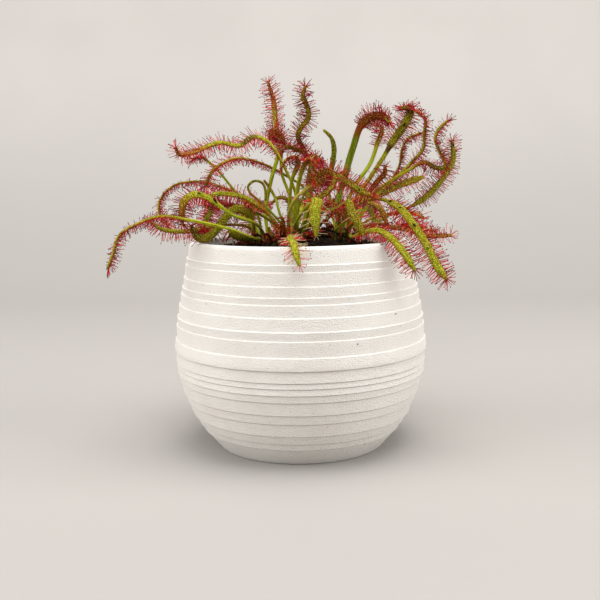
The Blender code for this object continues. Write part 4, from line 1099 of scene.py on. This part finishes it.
         ((0, MOSS), (0.45, OLIVE), (0.9, LIME), (1, RUST))),
)


@dataclass
class Line:
    """A leaf's middle line: points, distance along it, unit tangent, face normal and half width."""

    points: np.ndarray
    along: np.ndarray
    tangent: np.ndarray
    normal: np.ndarray
    half: np.ndarray
    blade_start: float

    def at(self, distance: np.ndarray) -> tuple[np.ndarray, np.ndarray, np.ndarray, np.ndarray, np.ndarray]:
        """Reads the line at any distances along it, straight between its points.

        Args:
            distance: millimetres from the seat in the soil.

        Returns:
            Point, tangent, side, face normal and half width for each distance.
        """
        def read(values: np.ndarray) -> np.ndarray:
            return np.stack([np.interp(distance, self.along, column) for column in values.T], axis=-1)

        tangent = unit(read(self.tangent))
        normal = read(self.normal)
        normal = unit(normal - tangent * (normal * tangent).sum(axis=-1, keepdims=True))
        half = np.interp(distance, self.along, self.half)
        return read(self.points), tangent, np.cross(tangent, normal), normal, half


@dataclass
class Routes:
    """The leaves' middle lines, worked out from the crowns and the leaf table as the solids are."""

    soil: Soil
    crowns: dict = field(default_factory=lambda: {"left": (-14.0, 0.5), "middle": (-2.0, -3.5),
                                                  "right": (17.0, 3.0)})
    spread: float = 1.0
    hole_depth: float = 4.0
    seat_gap: float = 0.3
    collar: float = 1.0
    points_per_span: int = 14
    root_width: float = 0.8
    stalk_widens: tuple = (5.0, 14.0)
    widen_length: float = 5.0
    tip_width: float = 0.85

    def roots(self) -> dict[str, np.ndarray]:
        """Root places: a sunflower spiral round each crown's middle, shared out by pairwise swaps.

        Two leaves swap places as long as that brings each nearer to the side it leans to.
        """
        found = {}
        for crown, middle in self.crowns.items():
            leaves = [leaf for leaf in LEAVES if leaf.crown == crown]
            steps = np.arange(len(leaves))
            radii, angles = self.spread * np.sqrt(steps + 0.4), steps * GOLDEN_ANGLE
            places = np.stack([radii * np.cos(angles), radii * np.sin(angles)], axis=1)
            lean = np.array([leaf.route[0][:2] for leaf in leaves]) - np.array(middle)
            order = list(steps)
            improved = True
            while improved:
                improved = False
                for i in steps:
                    for j in steps[i + 1:]:
                        if (lean[i] - lean[j]) @ (places[order[j]] - places[order[i]]) > 1e-9:
                            order[i], order[j] = order[j], order[i]
                            improved = True
            found.update({leaf.name: np.array(middle) + places[k] for leaf, k in zip(leaves, order)})
        return found

    def line(self, leaf: Leaf, root: np.ndarray) -> Line:
        """Works out a leaf's line: a spline through its route, its face carried along without twisting."""
        points = self.spline(leaf, root)
        along = np.concatenate([[0.0], np.cumsum(np.linalg.norm(np.diff(points, axis=0), axis=1))])
        tangent = unit(np.gradient(points, along, axis=0))
        middle = int(np.searchsorted(along, (leaf.blade_from + 1.0) / 2 * along[-1]))
        start = along[int(np.searchsorted(along, leaf.blade_from * along[-1]))]
        normal = np.zeros_like(points)
        normal[middle] = self.across(np.array(leaf.face, dtype=float), tangent[middle])
        for i in range(middle + 1, len(points)):
            normal[i] = self.across(normal[i - 1], tangent[i])
        for i in range(middle - 1, -1, -1):
            normal[i] = self.across(normal[i + 1], tangent[i])
        return Line(points, along, tangent, normal, self.half_width(leaf, along, start), start)

    def spline(self, leaf: Leaf, root: np.ndarray) -> np.ndarray:
        """A centripetal spline from the seat in the soil, straight up, and on through the route's points."""
        ground = float(self.soil.height(*root))
        seat, collar = ground - self.hole_depth + self.seat_gap, ground + self.collar
        upright = [(*root, seat), (*root, (seat + collar) / 2), (*root, collar)]
        points = np.array(upright + list(leaf.route), dtype=float)
        ends = np.vstack([2 * points[0] - points[1], points, 2 * points[-1] - points[-2]])
        p0, p1, p2, p3 = (ends[k:len(ends) - 3 + k][:, None] for k in range(4))
        gap = [np.linalg.norm(b - a, axis=-1, keepdims=True) ** 0.5
               for a, b in ((p0, p1), (p1, p2), (p2, p3))]
        t0, t1 = np.zeros_like(gap[0]), gap[0]
        t2, t3 = t1 + gap[1], t1 + gap[1] + gap[2]
        t = t1 + (t2 - t1) * (np.arange(1, self.points_per_span + 1) / self.points_per_span)[None, :, None]
        a1 = (t1 - t) / (t1 - t0) * p0 + (t - t0) / (t1 - t0) * p1
        a2 = (t2 - t) / (t2 - t1) * p1 + (t - t1) / (t2 - t1) * p2
        a3 = (t3 - t) / (t3 - t2) * p2 + (t - t2) / (t3 - t2) * p3
        b1 = (t2 - t) / (t2 - t0) * a1 + (t - t0) / (t2 - t0) * a2
        b2 = (t3 - t) / (t3 - t1) * a2 + (t - t1) / (t3 - t1) * a3
        curve = (t2 - t) / (t2 - t1) * b1 + (t - t1) / (t2 - t1) * b2
        return np.concatenate([points[:1], curve.reshape(-1, 3)])

    @staticmethod
    def across(vector: np.ndarray, tangent: np.ndarray) -> np.ndarray:
        """The unit part of the vector that lies square to the tangent."""
        return unit(vector - tangent * (vector @ tangent))

    def half_width(self, leaf: Leaf, along: np.ndarray, start: float) -> np.ndarray:
        """Half the leaf's width: thin in its hole, the stalk above it, then the blade, tapered to its tip."""
        stalk = self.root_width + (leaf.stalk - self.root_width) * self.eased(along, *self.stalk_widens)
        blade = self.eased(along, start - 0.4 * self.widen_length, start + 0.6 * self.widen_length)
        width = stalk + (leaf.width - stalk) * blade
        tip = np.sin(np.clip((along[-1] - along) / leaf.taper, 0.0, 1.0) * math.pi / 2)
        return (self.tip_width + (width - self.tip_width) * tip) / 2

    @staticmethod
    def eased(values: np.ndarray, start: float, end: float) -> np.ndarray:
        """A smooth rise from 0 at the start to 1 at the end."""
        share = np.clip((values - start) / (end - start), 0.0, 1.0)
        return share * share * (3.0 - 2.0 * share)


@dataclass
class Blade:
    """The stalk and blade of a leaf as one soft shell."""

    stalk_thick: float = 0.95
    blade_thick: float = 0.8
    stalk_width: float = 1.1
    pace: float = 0.55
    sides: int = 14
    tip: float = 0.9
    closes: float = 0.7
    ripple: float = 0.05
    groove: float = 0.42
    midrib: float = 0.30
    groove_width: float = 0.30
    curl: float = 0.10

    def shell(self, leaf: Leaf, line: Line, number: int) -> Shell:
        """Carries the cross-section along the line.

        The section is a rounded, flattened ring: across it is half width * cos(a) and up it is half the
        thickness * sin(a), both drawn towards a box by a power below one. On the blade a groove runs down
        the sticky side and a midrib down the back, and the margins ripple a little.
        """
        length = line.along[-1]
        distance = np.concatenate([np.arange(0.0, length - self.tip, self.pace),
                                   length - self.tip * (1.0 - np.sin(np.linspace(0.0, 1.45, 7)))])
        point, tangent, side, normal, half = line.at(distance)
        broad = np.clip((half * 2 - self.stalk_width) / 1.0, 0.0, 1.0)
        thick = np.minimum(self.stalk_thick + (self.blade_thick - self.stalk_thick) * broad, 2 * half) / 2
        on_blade = Routes.eased(distance, line.blade_start - 2.0, line.blade_start + 3.0)
        open_share = 1.0 - np.clip((length - distance) / self.closes, 0.0, 1.0)
        close = np.sqrt(np.clip(1.0 - open_share ** 2, 0.0, 1.0))
        draw = Run.BLADE.start(number)
        swing = np.sin(distance[:, None] * draw.uniform(0.9, 2.3, 3) + draw.uniform(0.0, 6.0, 3)).sum(axis=1)
        margin = 1.0 + self.ripple * on_blade * swing / 1.7
        c, s = circle(self.sides)
        wide = np.sign(c) * np.abs(c) ** 0.85
        tall = np.sign(s) * np.abs(s) ** 0.75
        groove = np.where(s > 0, -self.groove, self.midrib) * np.exp(-(c / self.groove_width) ** 2)
        up = tall[None] * (1.0 + groove[None] * on_blade[:, None])
        reach = (half * margin * np.maximum(close, 0.35))[:, None] * wide[None]
        lift = (thick * np.maximum(close, 0.2))[:, None] * up
        curl = self.curl * (on_blade * half)[:, None] * (wide[None] ** 2 - 0.4)
        grid = point[:, None] + side[:, None] * reach[..., None] + normal[:, None] * (lift + curl)[..., None]
        flat = np.zeros_like(reach)
        values = {
            "tint": self.tints(leaf, distance / length, self.sides),
            "leaf_place": np.stack([reach, flat + distance[:, None], lift], axis=-1),
            "edge": np.abs(wide)[None] * on_blade[:, None],
            "broad": flat + on_blade[:, None],
            "sticky": np.clip(s, 0.0, 1.0)[None] ** 0.5 * on_blade[:, None],
        }
        return loft(grid, point[0], point[-1] + tangent[-1] * 0.05, values)

    @staticmethod
    def tints(leaf: Leaf, share: np.ndarray, sides: int) -> np.ndarray:
        """The leaf's colour stops read at each ring, as four values for each corner of the ring."""
        places = [place for place, _ in leaf.colours]
        stops = np.array([tint.light for _, tint in leaf.colours])
        ring = np.stack([np.interp(share, places, stops[:, k]) for k in range(3)] + [np.ones(len(share))],
                        axis=1)
        return np.repeat(ring[:, None], sides, axis=1)


@dataclass(frozen=True)
class Row:
    """A row of tentacles: its lean from the blade's plane to the sticky face in degrees, how far out from
    the midrib it stands as a share of the half width, its length, and the step between tentacles."""

    lean: float
    out: float
    length: float
    step: float


@dataclass
class Fringe:
    """The tentacles of a blade, in rows from the margins to the midrib, with a fan round the tip."""

    rows: tuple = (Row(-8.0, 1.0, 3.2, 0.68), Row(24.0, 0.95, 3.4, 0.68), Row(55.0, 0.65, 2.2, 0.95),
                   Row(80.0, 0.25, 1.2, 1.5))
    back_rows: tuple = (Row(-40.0, 0.75, 1.6, 1.0), Row(-75.0, 0.35, 1.0, 1.2))
    head: float = 0.36
    sides: int = 4
    stalk_share: tuple = (0.0, 0.25, 0.6, 1.0)
    stalk_radii: tuple = (0.125, 0.095, 0.085, 0.07)
    head_down: tuple = (0.78, 0.35, 0.0)
    head_radii: tuple = (0.13, 0.165, 0.0)
    rise: tuple = (0.0, 0.22, 0.5, 0.78, 0.86, 0.94, 1.0)
    scatter: float = 0.22
    sag: float = 0.03
    tip_fan: int = 15
    tip_length: float = 3.3
    sink: float = 0.25

    def plan(self, line: Line, number: int, dew: float,
             shaggy: bool) -> tuple[np.ndarray, np.ndarray, np.ndarray]:
        """Where each tentacle of a blade stands, which way it points and how long it is.

        A row's tentacles stand step apart with some scatter. They are short where the blade starts, and
        reach their full length 6 mm further on. The dew says how many of them the leaf has, 1 for all.
        A shaggy leaf has short ones on its back too.
        """
        draw = Run.FRINGE.start(number)
        end = line.along[-1]
        roots, ways, lengths = [], [], []
        for row in self.rows + (self.back_rows if shaggy else ()):
            for hand in (-1.0, 1.0):
                count = max(2, int((end - 0.6 - line.blade_start) * dew / row.step))
                step = row.step / dew
                distance = line.blade_start + step * (np.arange(count) + draw.uniform(0.1, 0.9, count))
                distance = np.minimum(distance, end - 0.4)
                point, tangent, side, normal, half = line.at(distance)
                lean = np.radians(row.lean + draw.normal(scale=8.0, size=count))[:, None]
                way = side * hand * np.cos(lean) + normal * np.sin(lean)
                way = unit(way + tangent * draw.uniform(-0.05, 0.32, count)[:, None])
                grown = np.clip(0.5 + (distance - line.blade_start) / 12.0, 0.5, 1.0)
                roots.append(point + side * (hand * row.out * np.maximum(half - self.sink, 0.1))[:, None])
                ways.append(way)
                lengths.append((row.length + self.sink) * grown * draw.uniform(0.80, 1.15, count))
        point, tangent, side, normal, half = (part[0] for part in line.at(np.array([end - 0.5])))
        count = max(4, round(self.tip_fan * min(dew, 1.0)))
        fan = np.linspace(-1.45, 1.45, count) + draw.normal(scale=0.08, size=count)
        lift = draw.uniform(-0.25, 0.6, count)[:, None]
        roots.append(point + side * (np.sin(fan) * half * 0.6)[:, None])
        ways.append(unit(tangent * np.cos(fan)[:, None] + side * np.sin(fan)[:, None] + normal * lift))
        lengths.append(self.tip_length * min(1.0, 0.4 + 0.6 * dew) * draw.uniform(0.8, 1.15, count))
        return np.concatenate(roots), np.concatenate(ways), np.concatenate(lengths)

    def shell(self, roots: np.ndarray, ways: np.ndarray, lengths: np.ndarray, number: int,
              tone: float) -> Shell:
        """Draws the tentacles: a stalk that thins towards its neck, and an egg-shaped head.

        Each carries its own tone, scattered round the leaf's: 0 is pale, 1 is maroon.
        """
        draw = Run.HEADS.start(number)
        count = len(roots)
        size = draw.uniform(0.80, 1.15, (count, 1))
        head = self.head * size
        whole = lengths[:, None]
        along = np.concatenate([np.array(self.stalk_share) * (whole - head), whole - head * self.head_down],
                               axis=1)
        tones = np.clip(draw.normal(tone, self.scatter, count), 0.0, 1.0)
        stout = 0.62 + np.minimum(tones, 0.5)[:, None] * 1.1
        radii = np.concatenate([stout * self.stalk_radii, size * self.head_radii], axis=1)
        bends = draw.normal(scale=0.09, size=(count, 3)) + np.array([0.0, 0.0, -self.sag])
        shell = needles(roots, ways, bends, along, radii, np.array(self.rise), self.sides)
        shell.values["tone"] = np.repeat(tones, len(shell.points) // count)
        return shell


@dataclass
class Room:
    """A coarse grid of the space round the leaves that remembers which leaf fills each cell."""

    low: np.ndarray = field(default_factory=BOX_LOW.copy)
    high: np.ndarray = field(default_factory=BOX_HIGH.copy)
    cell: float = 0.45
    samples: int = 14
    wall_gap: float = 0.45
    lip_gap: float = 0.3
    box_gap: float = 0.25

    def __post_init__(self) -> None:
        """Starts with every cell empty."""
        self.shape = np.ceil((self.high - self.low) / self.cell).astype(int) + 1
        self.filled = np.full(self.shape, -1, dtype=np.int16)

    def cells(self, points: np.ndarray) -> tuple[np.ndarray, np.ndarray, np.ndarray]:
        """The cell numbers of points, kept inside the grid."""
        found = np.clip(((points - self.low) / self.cell).astype(int), 0, self.shape - 1)
        return found[..., 0], found[..., 1], found[..., 2]

    def fill(self, shell: Shell, number: int) -> None:
        """Marks the cells that a leaf's shell passes through."""
        self.filled[self.cells(shell.points)] = number

    def free_share(self, roots: np.ndarray, ways: np.ndarray, lengths: np.ndarray, number: int,
                   pot: Pot) -> np.ndarray:
        """How much of each tentacle is clear of other leaves, of the pot and of the box, from 0 to 1."""
        share = np.linspace(0.2, 1.12, self.samples)
        samples = roots[:, None] + ways[:, None] * (lengths[:, None] * share)[..., None]
        there = self.filled[self.cells(samples)]
        radius, height = np.hypot(samples[..., 0], samples[..., 1]), samples[..., 2]
        inside = (radius < pot.radius(height) + self.wall_gap) & (height < pot.height + self.lip_gap)
        outside = ((samples < self.low + self.box_gap) | (samples > self.high - self.box_gap)).any(axis=-1)
        hit = ((there >= 0) & (there != number)) | inside | outside
        first = np.where(hit.any(axis=1), hit.argmax(axis=1), len(share))
        return np.where(first == len(share), 1.0, share[np.maximum(first - 1, 0)] * (first > 0))


@dataclass
class Plant:
    """All the leaves, each with its blade, its tentacles and its down."""

    routes: Routes
    blade: Blade = field(default_factory=Blade)
    fringe: Fringe = field(default_factory=Fringe)
    shortest: float = 0.85
    hairs_per_mm: float = 1.6
    smooth_foot: float = 6.0
    hair_seat: float = 0.36
    hair_share: tuple = (0.0, 0.5, 1.0)
    hair_radii: tuple = (0.045, 0.03, 0.0)

    def __post_init__(self) -> None:
        """Works out every leaf's line."""
        roots = self.routes.roots()
        self.lines = {leaf.name: self.routes.line(leaf, roots[leaf.name]) for leaf in LEAVES}

    def build(self, skin: LeafSkin, dew: Dew) -> None:
        """Makes a blade and a fringe piece for each leaf."""
        skin_material, dew_material = skin.material(), dew.material()
        room = Room()
        shells = [self.blade.shell(leaf, self.lines[leaf.name], k) for k, leaf in enumerate(LEAVES)]
        for number, shell in enumerate(shells):
            room.fill(shell, number)
        for number, leaf in enumerate(LEAVES):
            node = "leaf_" + leaf.name
            shells[number].piece(node + "_blade", skin_material, "leaf", node)
            if leaf.bare:
                continue
            roots, ways, lengths = self.fringe.plan(self.lines[leaf.name], number, leaf.dew, leaf.shaggy)
            lengths = lengths * room.free_share(roots, ways, lengths, number, self.routes.soil.pot)
            kept = lengths > self.shortest
            shell = self.fringe.shell(roots[kept], ways[kept], lengths[kept], number, leaf.tone)
            shell.piece(node + "_dew", dew_material, "leaf", node)

    def grow_down(self, finish: Down) -> bpy.types.Object:
        """Makes the short pale hairs on every stalk and leaf back."""
        roots, ways = [], []
        for number, leaf in enumerate(LEAVES):
            draw = Run.DOWN.start(number)
            line = self.lines[leaf.name]
            count = int((line.along[-1] - self.smooth_foot) * self.hairs_per_mm)
            distance = draw.uniform(self.smooth_foot, line.along[-1] - 1.0, count)
            point, tangent, side, normal, half = line.at(distance)
            angle = draw.uniform(math.pi, math.tau, count)
            out = side * np.cos(angle)[:, None] + normal * np.sin(angle)[:, None]
            roots.append(point + side * (np.cos(angle) * half * 0.9)[:, None]
                         + normal * (np.sin(angle) * self.hair_seat)[:, None])
            ways.append(unit(out + tangent * draw.uniform(0.1, 0.8, count)[:, None]))
        roots, ways = np.concatenate(roots), np.concatenate(ways)
        draw = Run.DOWN_LENGTHS.start()
        length = draw.uniform(0.45, 0.85, (len(roots), 1))
        share = np.array(self.hair_share)
        shell = needles(roots, ways, draw.normal(scale=0.12, size=roots.shape), length * share,
                        np.tile(self.hair_radii, (len(roots), 1)), share, 3)
        return shell.piece("leaf_down", finish.material(), "leaf")


@dataclass
class Gnats:
    """Small gnats caught on the leaves, each named by its leaf, its place along it, its side and its size."""

    plant: Plant
    caught: tuple = (
        ("left_high", 0.66, 1.0, 1.0), ("left_thin", 0.93, -1.0, 0.8), ("left_bow", 0.55, 1.0, 0.9),
        ("left_claw", 0.66, -1.0, 1.1), ("left_claw", 0.76, -1.0, 0.7), ("tall_wave", 0.88, 1.0, 0.6),
        ("bridge", 0.72, 1.0, 0.8), ("right_zigzag", 0.55, 1.0, 1.1), ("right_ear", 0.64, 1.0, 0.9),
        ("front_dotted", 0.72, -1.0, 0.8), ("front_dotted", 0.9, -1.0, 0.7), ("right_long", 0.50, -1.0, 0.8),
        ("right_long", 0.57, -1.0, 0.7), ("right_long", 0.70, -1.0, 1.0), ("right_long", 0.83, -1.0, 0.5),
        ("right_hoop", 0.5, 1.0, 0.6), ("right_sickle", 0.97, -1.0, 0.7), ("right_folded", 0.86, 1.0, 1.0),
        ("right_folded", 0.82, -1.0, 0.9))
    body_length: float = 1.9
    body_share: tuple = (0.0, 0.10, 0.25, 0.34, 0.48, 0.62, 0.80, 1.0)
    body_radii: tuple = (0.08, 0.24, 0.16, 0.32, 0.34, 0.28, 0.20, 0.0)
    stand_off: float = 0.75
    sides: int = 8

    def build(self, finish: GnatBlack) -> bpy.types.Object:
        """Makes the bodies: a head, a thorax and a tapered abdomen turned about a bent axis."""
        draw = Run.GNATS.start()
        roots, ways, sizes = [], [], []
        for name, share, hand, size in self.caught:
            line = self.plant.lines[name]
            spot = np.array([share * line.along[-1]])
            point, tangent, side, normal, _ = (part[0] for part in line.at(spot))
            way = unit(tangent + side * draw.uniform(-0.6, 0.6))
            roots.append(point + normal * hand * self.stand_off - way * size * 0.8)
            ways.append(way)
            sizes.append(size)
        size = np.array(sizes)[:, None]
        share = np.array(self.body_share)
        shell = needles(np.array(roots), np.array(ways), draw.normal(scale=0.1, size=(len(roots), 3)),
                        size * self.body_length * share, size * self.body_radii, share, self.sides)
        return shell.piece("caught_gnats", finish.material(), "leaf")


@dataclass
class Withered:
    """Dry leaf bits that lie round the crowns."""

    routes: Routes
    count: int = 84
    curled: int = 26
    fibres: int = 46
    spans: int = 8
    sides: int = 8
    thick: float = 0.12
    reach: float = 34.5

    def build(self, finish: Litter) -> bpy.types.Object:
        """Makes the bits: flat twisted strips on short bent paths near the crowns, the last ones arched."""
        draw = Run.BITS.start()
        middles = np.array(list(self.routes.crowns.values()))
        shells = []
        for k in range(self.count + self.curled):
            arched = k >= self.count
            middle = middles[draw.integers(0, 3)]
            angle, radius = draw.uniform(0.0, math.tau), draw.uniform(3.0, 11.0)
            start = np.array([middle[0] + radius * math.cos(angle), middle[1] + radius * math.sin(angle)])
            turn = angle + draw.normal(scale=0.8)
            length, width = draw.uniform(2.5, 6.5), draw.uniform(0.5, 1.2)
            lift = draw.uniform(0.3, 1.8)
            if arched:
                length, width, lift = length + 3.0, width + 0.5, lift * 2.5 + 1.0
            shells.append(self.strip(start, turn, length, width, lift, draw))
        return Shell.joined(shells).piece("withered_bits", finish.material(), "leaf")

    def crown_fibres(self, finish: Litter) -> bpy.types.Object:
        """Makes the dry fibres that stand round each crown: thin shafts that lean outwards."""
        draw = Run.FIBRES.start()
        roots, ways = [], []
        for middle in self.routes.crowns.values():
            angle = draw.uniform(0.0, math.tau, self.fibres)
            radius = draw.uniform(1.2, 5.4, self.fibres)
            x, y = middle[0] + radius * np.cos(angle), middle[1] + radius * np.sin(angle)
            roots.append(np.stack([x, y, self.routes.soil.height(x, y) - 0.3], axis=1))
            lean = draw.uniform(0.15, 0.85, self.fibres)
            out = np.stack([np.cos(angle) * lean, np.sin(angle) * lean, np.ones(self.fibres)], axis=1)
            ways.append(unit(out))
        roots, ways = np.concatenate(roots), np.concatenate(ways)
        length = draw.uniform(2.4, 6.4, (len(roots), 1))
        share = np.array([0.0, 0.35, 0.7, 1.0])
        thick = draw.uniform(0.10, 0.22, (len(roots), 1)) * np.array([1.0, 0.9, 0.55, 0.0])
        bends = draw.normal(scale=0.16, size=roots.shape)
        shell = needles(roots, ways, bends, length * share, thick, share, 4)
        return shell.piece("crown_fibres", finish.material(), "leaf")

    def strip(self, start: np.ndarray, turn: float, length: float, width: float, lift: float,
              draw: np.random.Generator) -> Shell:
        """One strip: a flat ring carried along a path arched by the lift, twisting as it goes."""
        share = np.linspace(0.0, 1.0, self.spans + 1)
        bend = turn + draw.normal(scale=0.7) * share
        flat = start + np.cumsum(np.stack([np.cos(bend), np.sin(bend)], axis=1) * length / self.spans, axis=0)
        radius = np.hypot(*flat.T)
        flat = flat * np.minimum(1.0, self.reach / np.maximum(radius, 1e-6))[:, None]
        height = self.routes.soil.height(*flat.T) + 0.4 + lift * np.sin(share * 2.8)
        path = np.column_stack([flat, height])
        tangent = unit(np.gradient(path, axis=0))
        side = unit(np.cross(tangent, (0.0, 0.0, 1.0)))
        normal = np.cross(side, tangent)
        twist = draw.normal(scale=1.2) * share[:, None]
        across = side * np.cos(twist) + normal * np.sin(twist)
        up = np.cross(across, tangent)
        wide = width / 2 * np.sin(0.25 + share * 2.6)[:, None]
        c, s = circle(self.sides)
        grid = (path[:, None] + across[:, None] * (wide * c)[..., None]
                + up[:, None] * (self.thick * s)[None, :, None])
        return loft(grid, path[0], path[-1])


@dataclass
class Studio:
    """The plain pale floor and backdrop, the soft lights and the camera."""

    half_width: float = 2400.0
    front: float = -1500.0
    back: float = 620.0
    bend: float = 260.0
    top: float = 1500.0
    eye: tuple = (0.0, -302.0, 93.8)
    tilt: float = 8.0
    roll: float = -0.72
    lens: float = 50.64
    sensor: float = 36.0
    aim: tuple = (0.0, 0.0, 60.0)
    lamps: tuple = (("high_front", (-60.0, -640.0, 820.0), 800.0, 4.2),
                    ("overhead", (80.0, -40.0, 1000.0), 700.0, 9.4),
                    ("left", (-900.0, -200.0, 420.0), 700.0, 6.2),
                    ("right", (900.0, -200.0, 420.0), 700.0, 5.8))
    lamp_colour: tuple = (1.0, 0.985, 0.965)
    world_strength: float = 0.32

    def sweep(self, finish: Plaster) -> None:
        """Makes the floor and backdrop: a flat floor that bends up into a wall along a quarter circle."""
        angle = np.linspace(0.0, math.pi / 2, 24)
        y = np.concatenate([[self.front], self.back - self.bend + self.bend * np.sin(angle), [self.back]])
        z = np.concatenate([[0.0], self.bend - self.bend * np.cos(angle), [self.top]])
        x = np.array([-self.half_width, self.half_width])
        grid = np.stack([np.broadcast_to(x, (len(y), 2)), np.repeat(y[:, None], 2, axis=1),
                         np.repeat(z[:, None], 2, axis=1)], axis=-1)
        i = np.arange(len(y) - 1) * 2
        quads = np.stack([i, i + 1, i + 3, i + 2], axis=1)
        shell = Shell(grid.reshape(-1, 3), quads, np.zeros((0, 3), dtype=int))
        floor = bpy.data.objects.new("studio_sweep", shell.mesh("studio_sweep"))
        floor.data.materials.append(finish.material())
        bpy.context.scene.collection.objects.link(floor)

    def lamp(self, name: str, place: tuple, size: float, power: float) -> None:
        """Adds a square soft light that faces the plant.

        Args:
            name: the light's name.
            place: where it hangs, in millimetres.
            size: the length of its side in millimetres.
            power: its power in watts.
        """
        light = bpy.data.lights.new(name, "AREA")
        light.size, light.energy, light.color = size * MM, power, self.lamp_colour
        obj = bpy.data.objects.new(name, light)
        obj.location = Vector(place) * MM
        obj.rotation_euler = (Vector(self.aim) - Vector(place)).to_track_quat("-Z", "Y").to_euler()
        bpy.context.scene.collection.objects.link(obj)

    def light(self) -> None:
        """Hangs the lights and sets an even pale world."""
        for lamp in self.lamps:
            self.lamp(*lamp)
        world = bpy.data.worlds.new("studio")
        world.use_nodes = True
        backing = world.node_tree.nodes["Background"]
        backing.inputs["Color"].default_value = (*self.lamp_colour, 1.0)
        backing.inputs["Strength"].default_value = self.world_strength
        bpy.context.scene.world = world
        bpy.context.scene.view_settings.view_transform = "Standard"

    def camera(self) -> None:
        """Puts the camera in front of the pot, tipped down and rolled a little."""
        data = bpy.data.cameras.new("view")
        data.lens, data.sensor_width = self.lens, self.sensor
        data.clip_start, data.clip_end = 0.01, 20.0
        obj = bpy.data.objects.new("view", data)
        obj.location = Vector(self.eye) * MM
        turn = Euler((math.radians(90.0 - self.tilt), 0.0, 0.0)).to_matrix()
        obj.rotation_euler = (turn @ Euler((0.0, 0.0, math.radians(self.roll))).to_matrix()).to_euler()
        bpy.context.scene.collection.objects.link(obj)
        bpy.context.scene.camera = obj


def main() -> None:
    """Builds the pot, the soil, the plant and the studio."""
    logging.basicConfig(level=logging.INFO, format="%(name)s: %(message)s")
    pot = Pot()
    pot.build(MattWhite())
    pot.scatter_grit(Peat(dark=(0.20, 0.15, 0.10)))
    soil = Soil(pot)
    soil.build(Peat())
    soil.scatter(Peat(dark=(0.09, 0.07, 0.05)))
    soil.grow_moss(Moss())
    routes = Routes(soil)
    withered = Withered(routes)
    withered.build(Litter())
    withered.crown_fibres(Litter(red=(0.46, 0.16, 0.08), brown=(0.27, 0.12, 0.06)))
    plant = Plant(routes)
    plant.build(LeafSkin(), Dew())
    plant.grow_down(Down())
    Gnats(plant).build(GnatBlack())
    studio = Studio()
    studio.sweep(Plaster())
    studio.light()
    studio.camera()


if __name__ == "__main__":
    main()
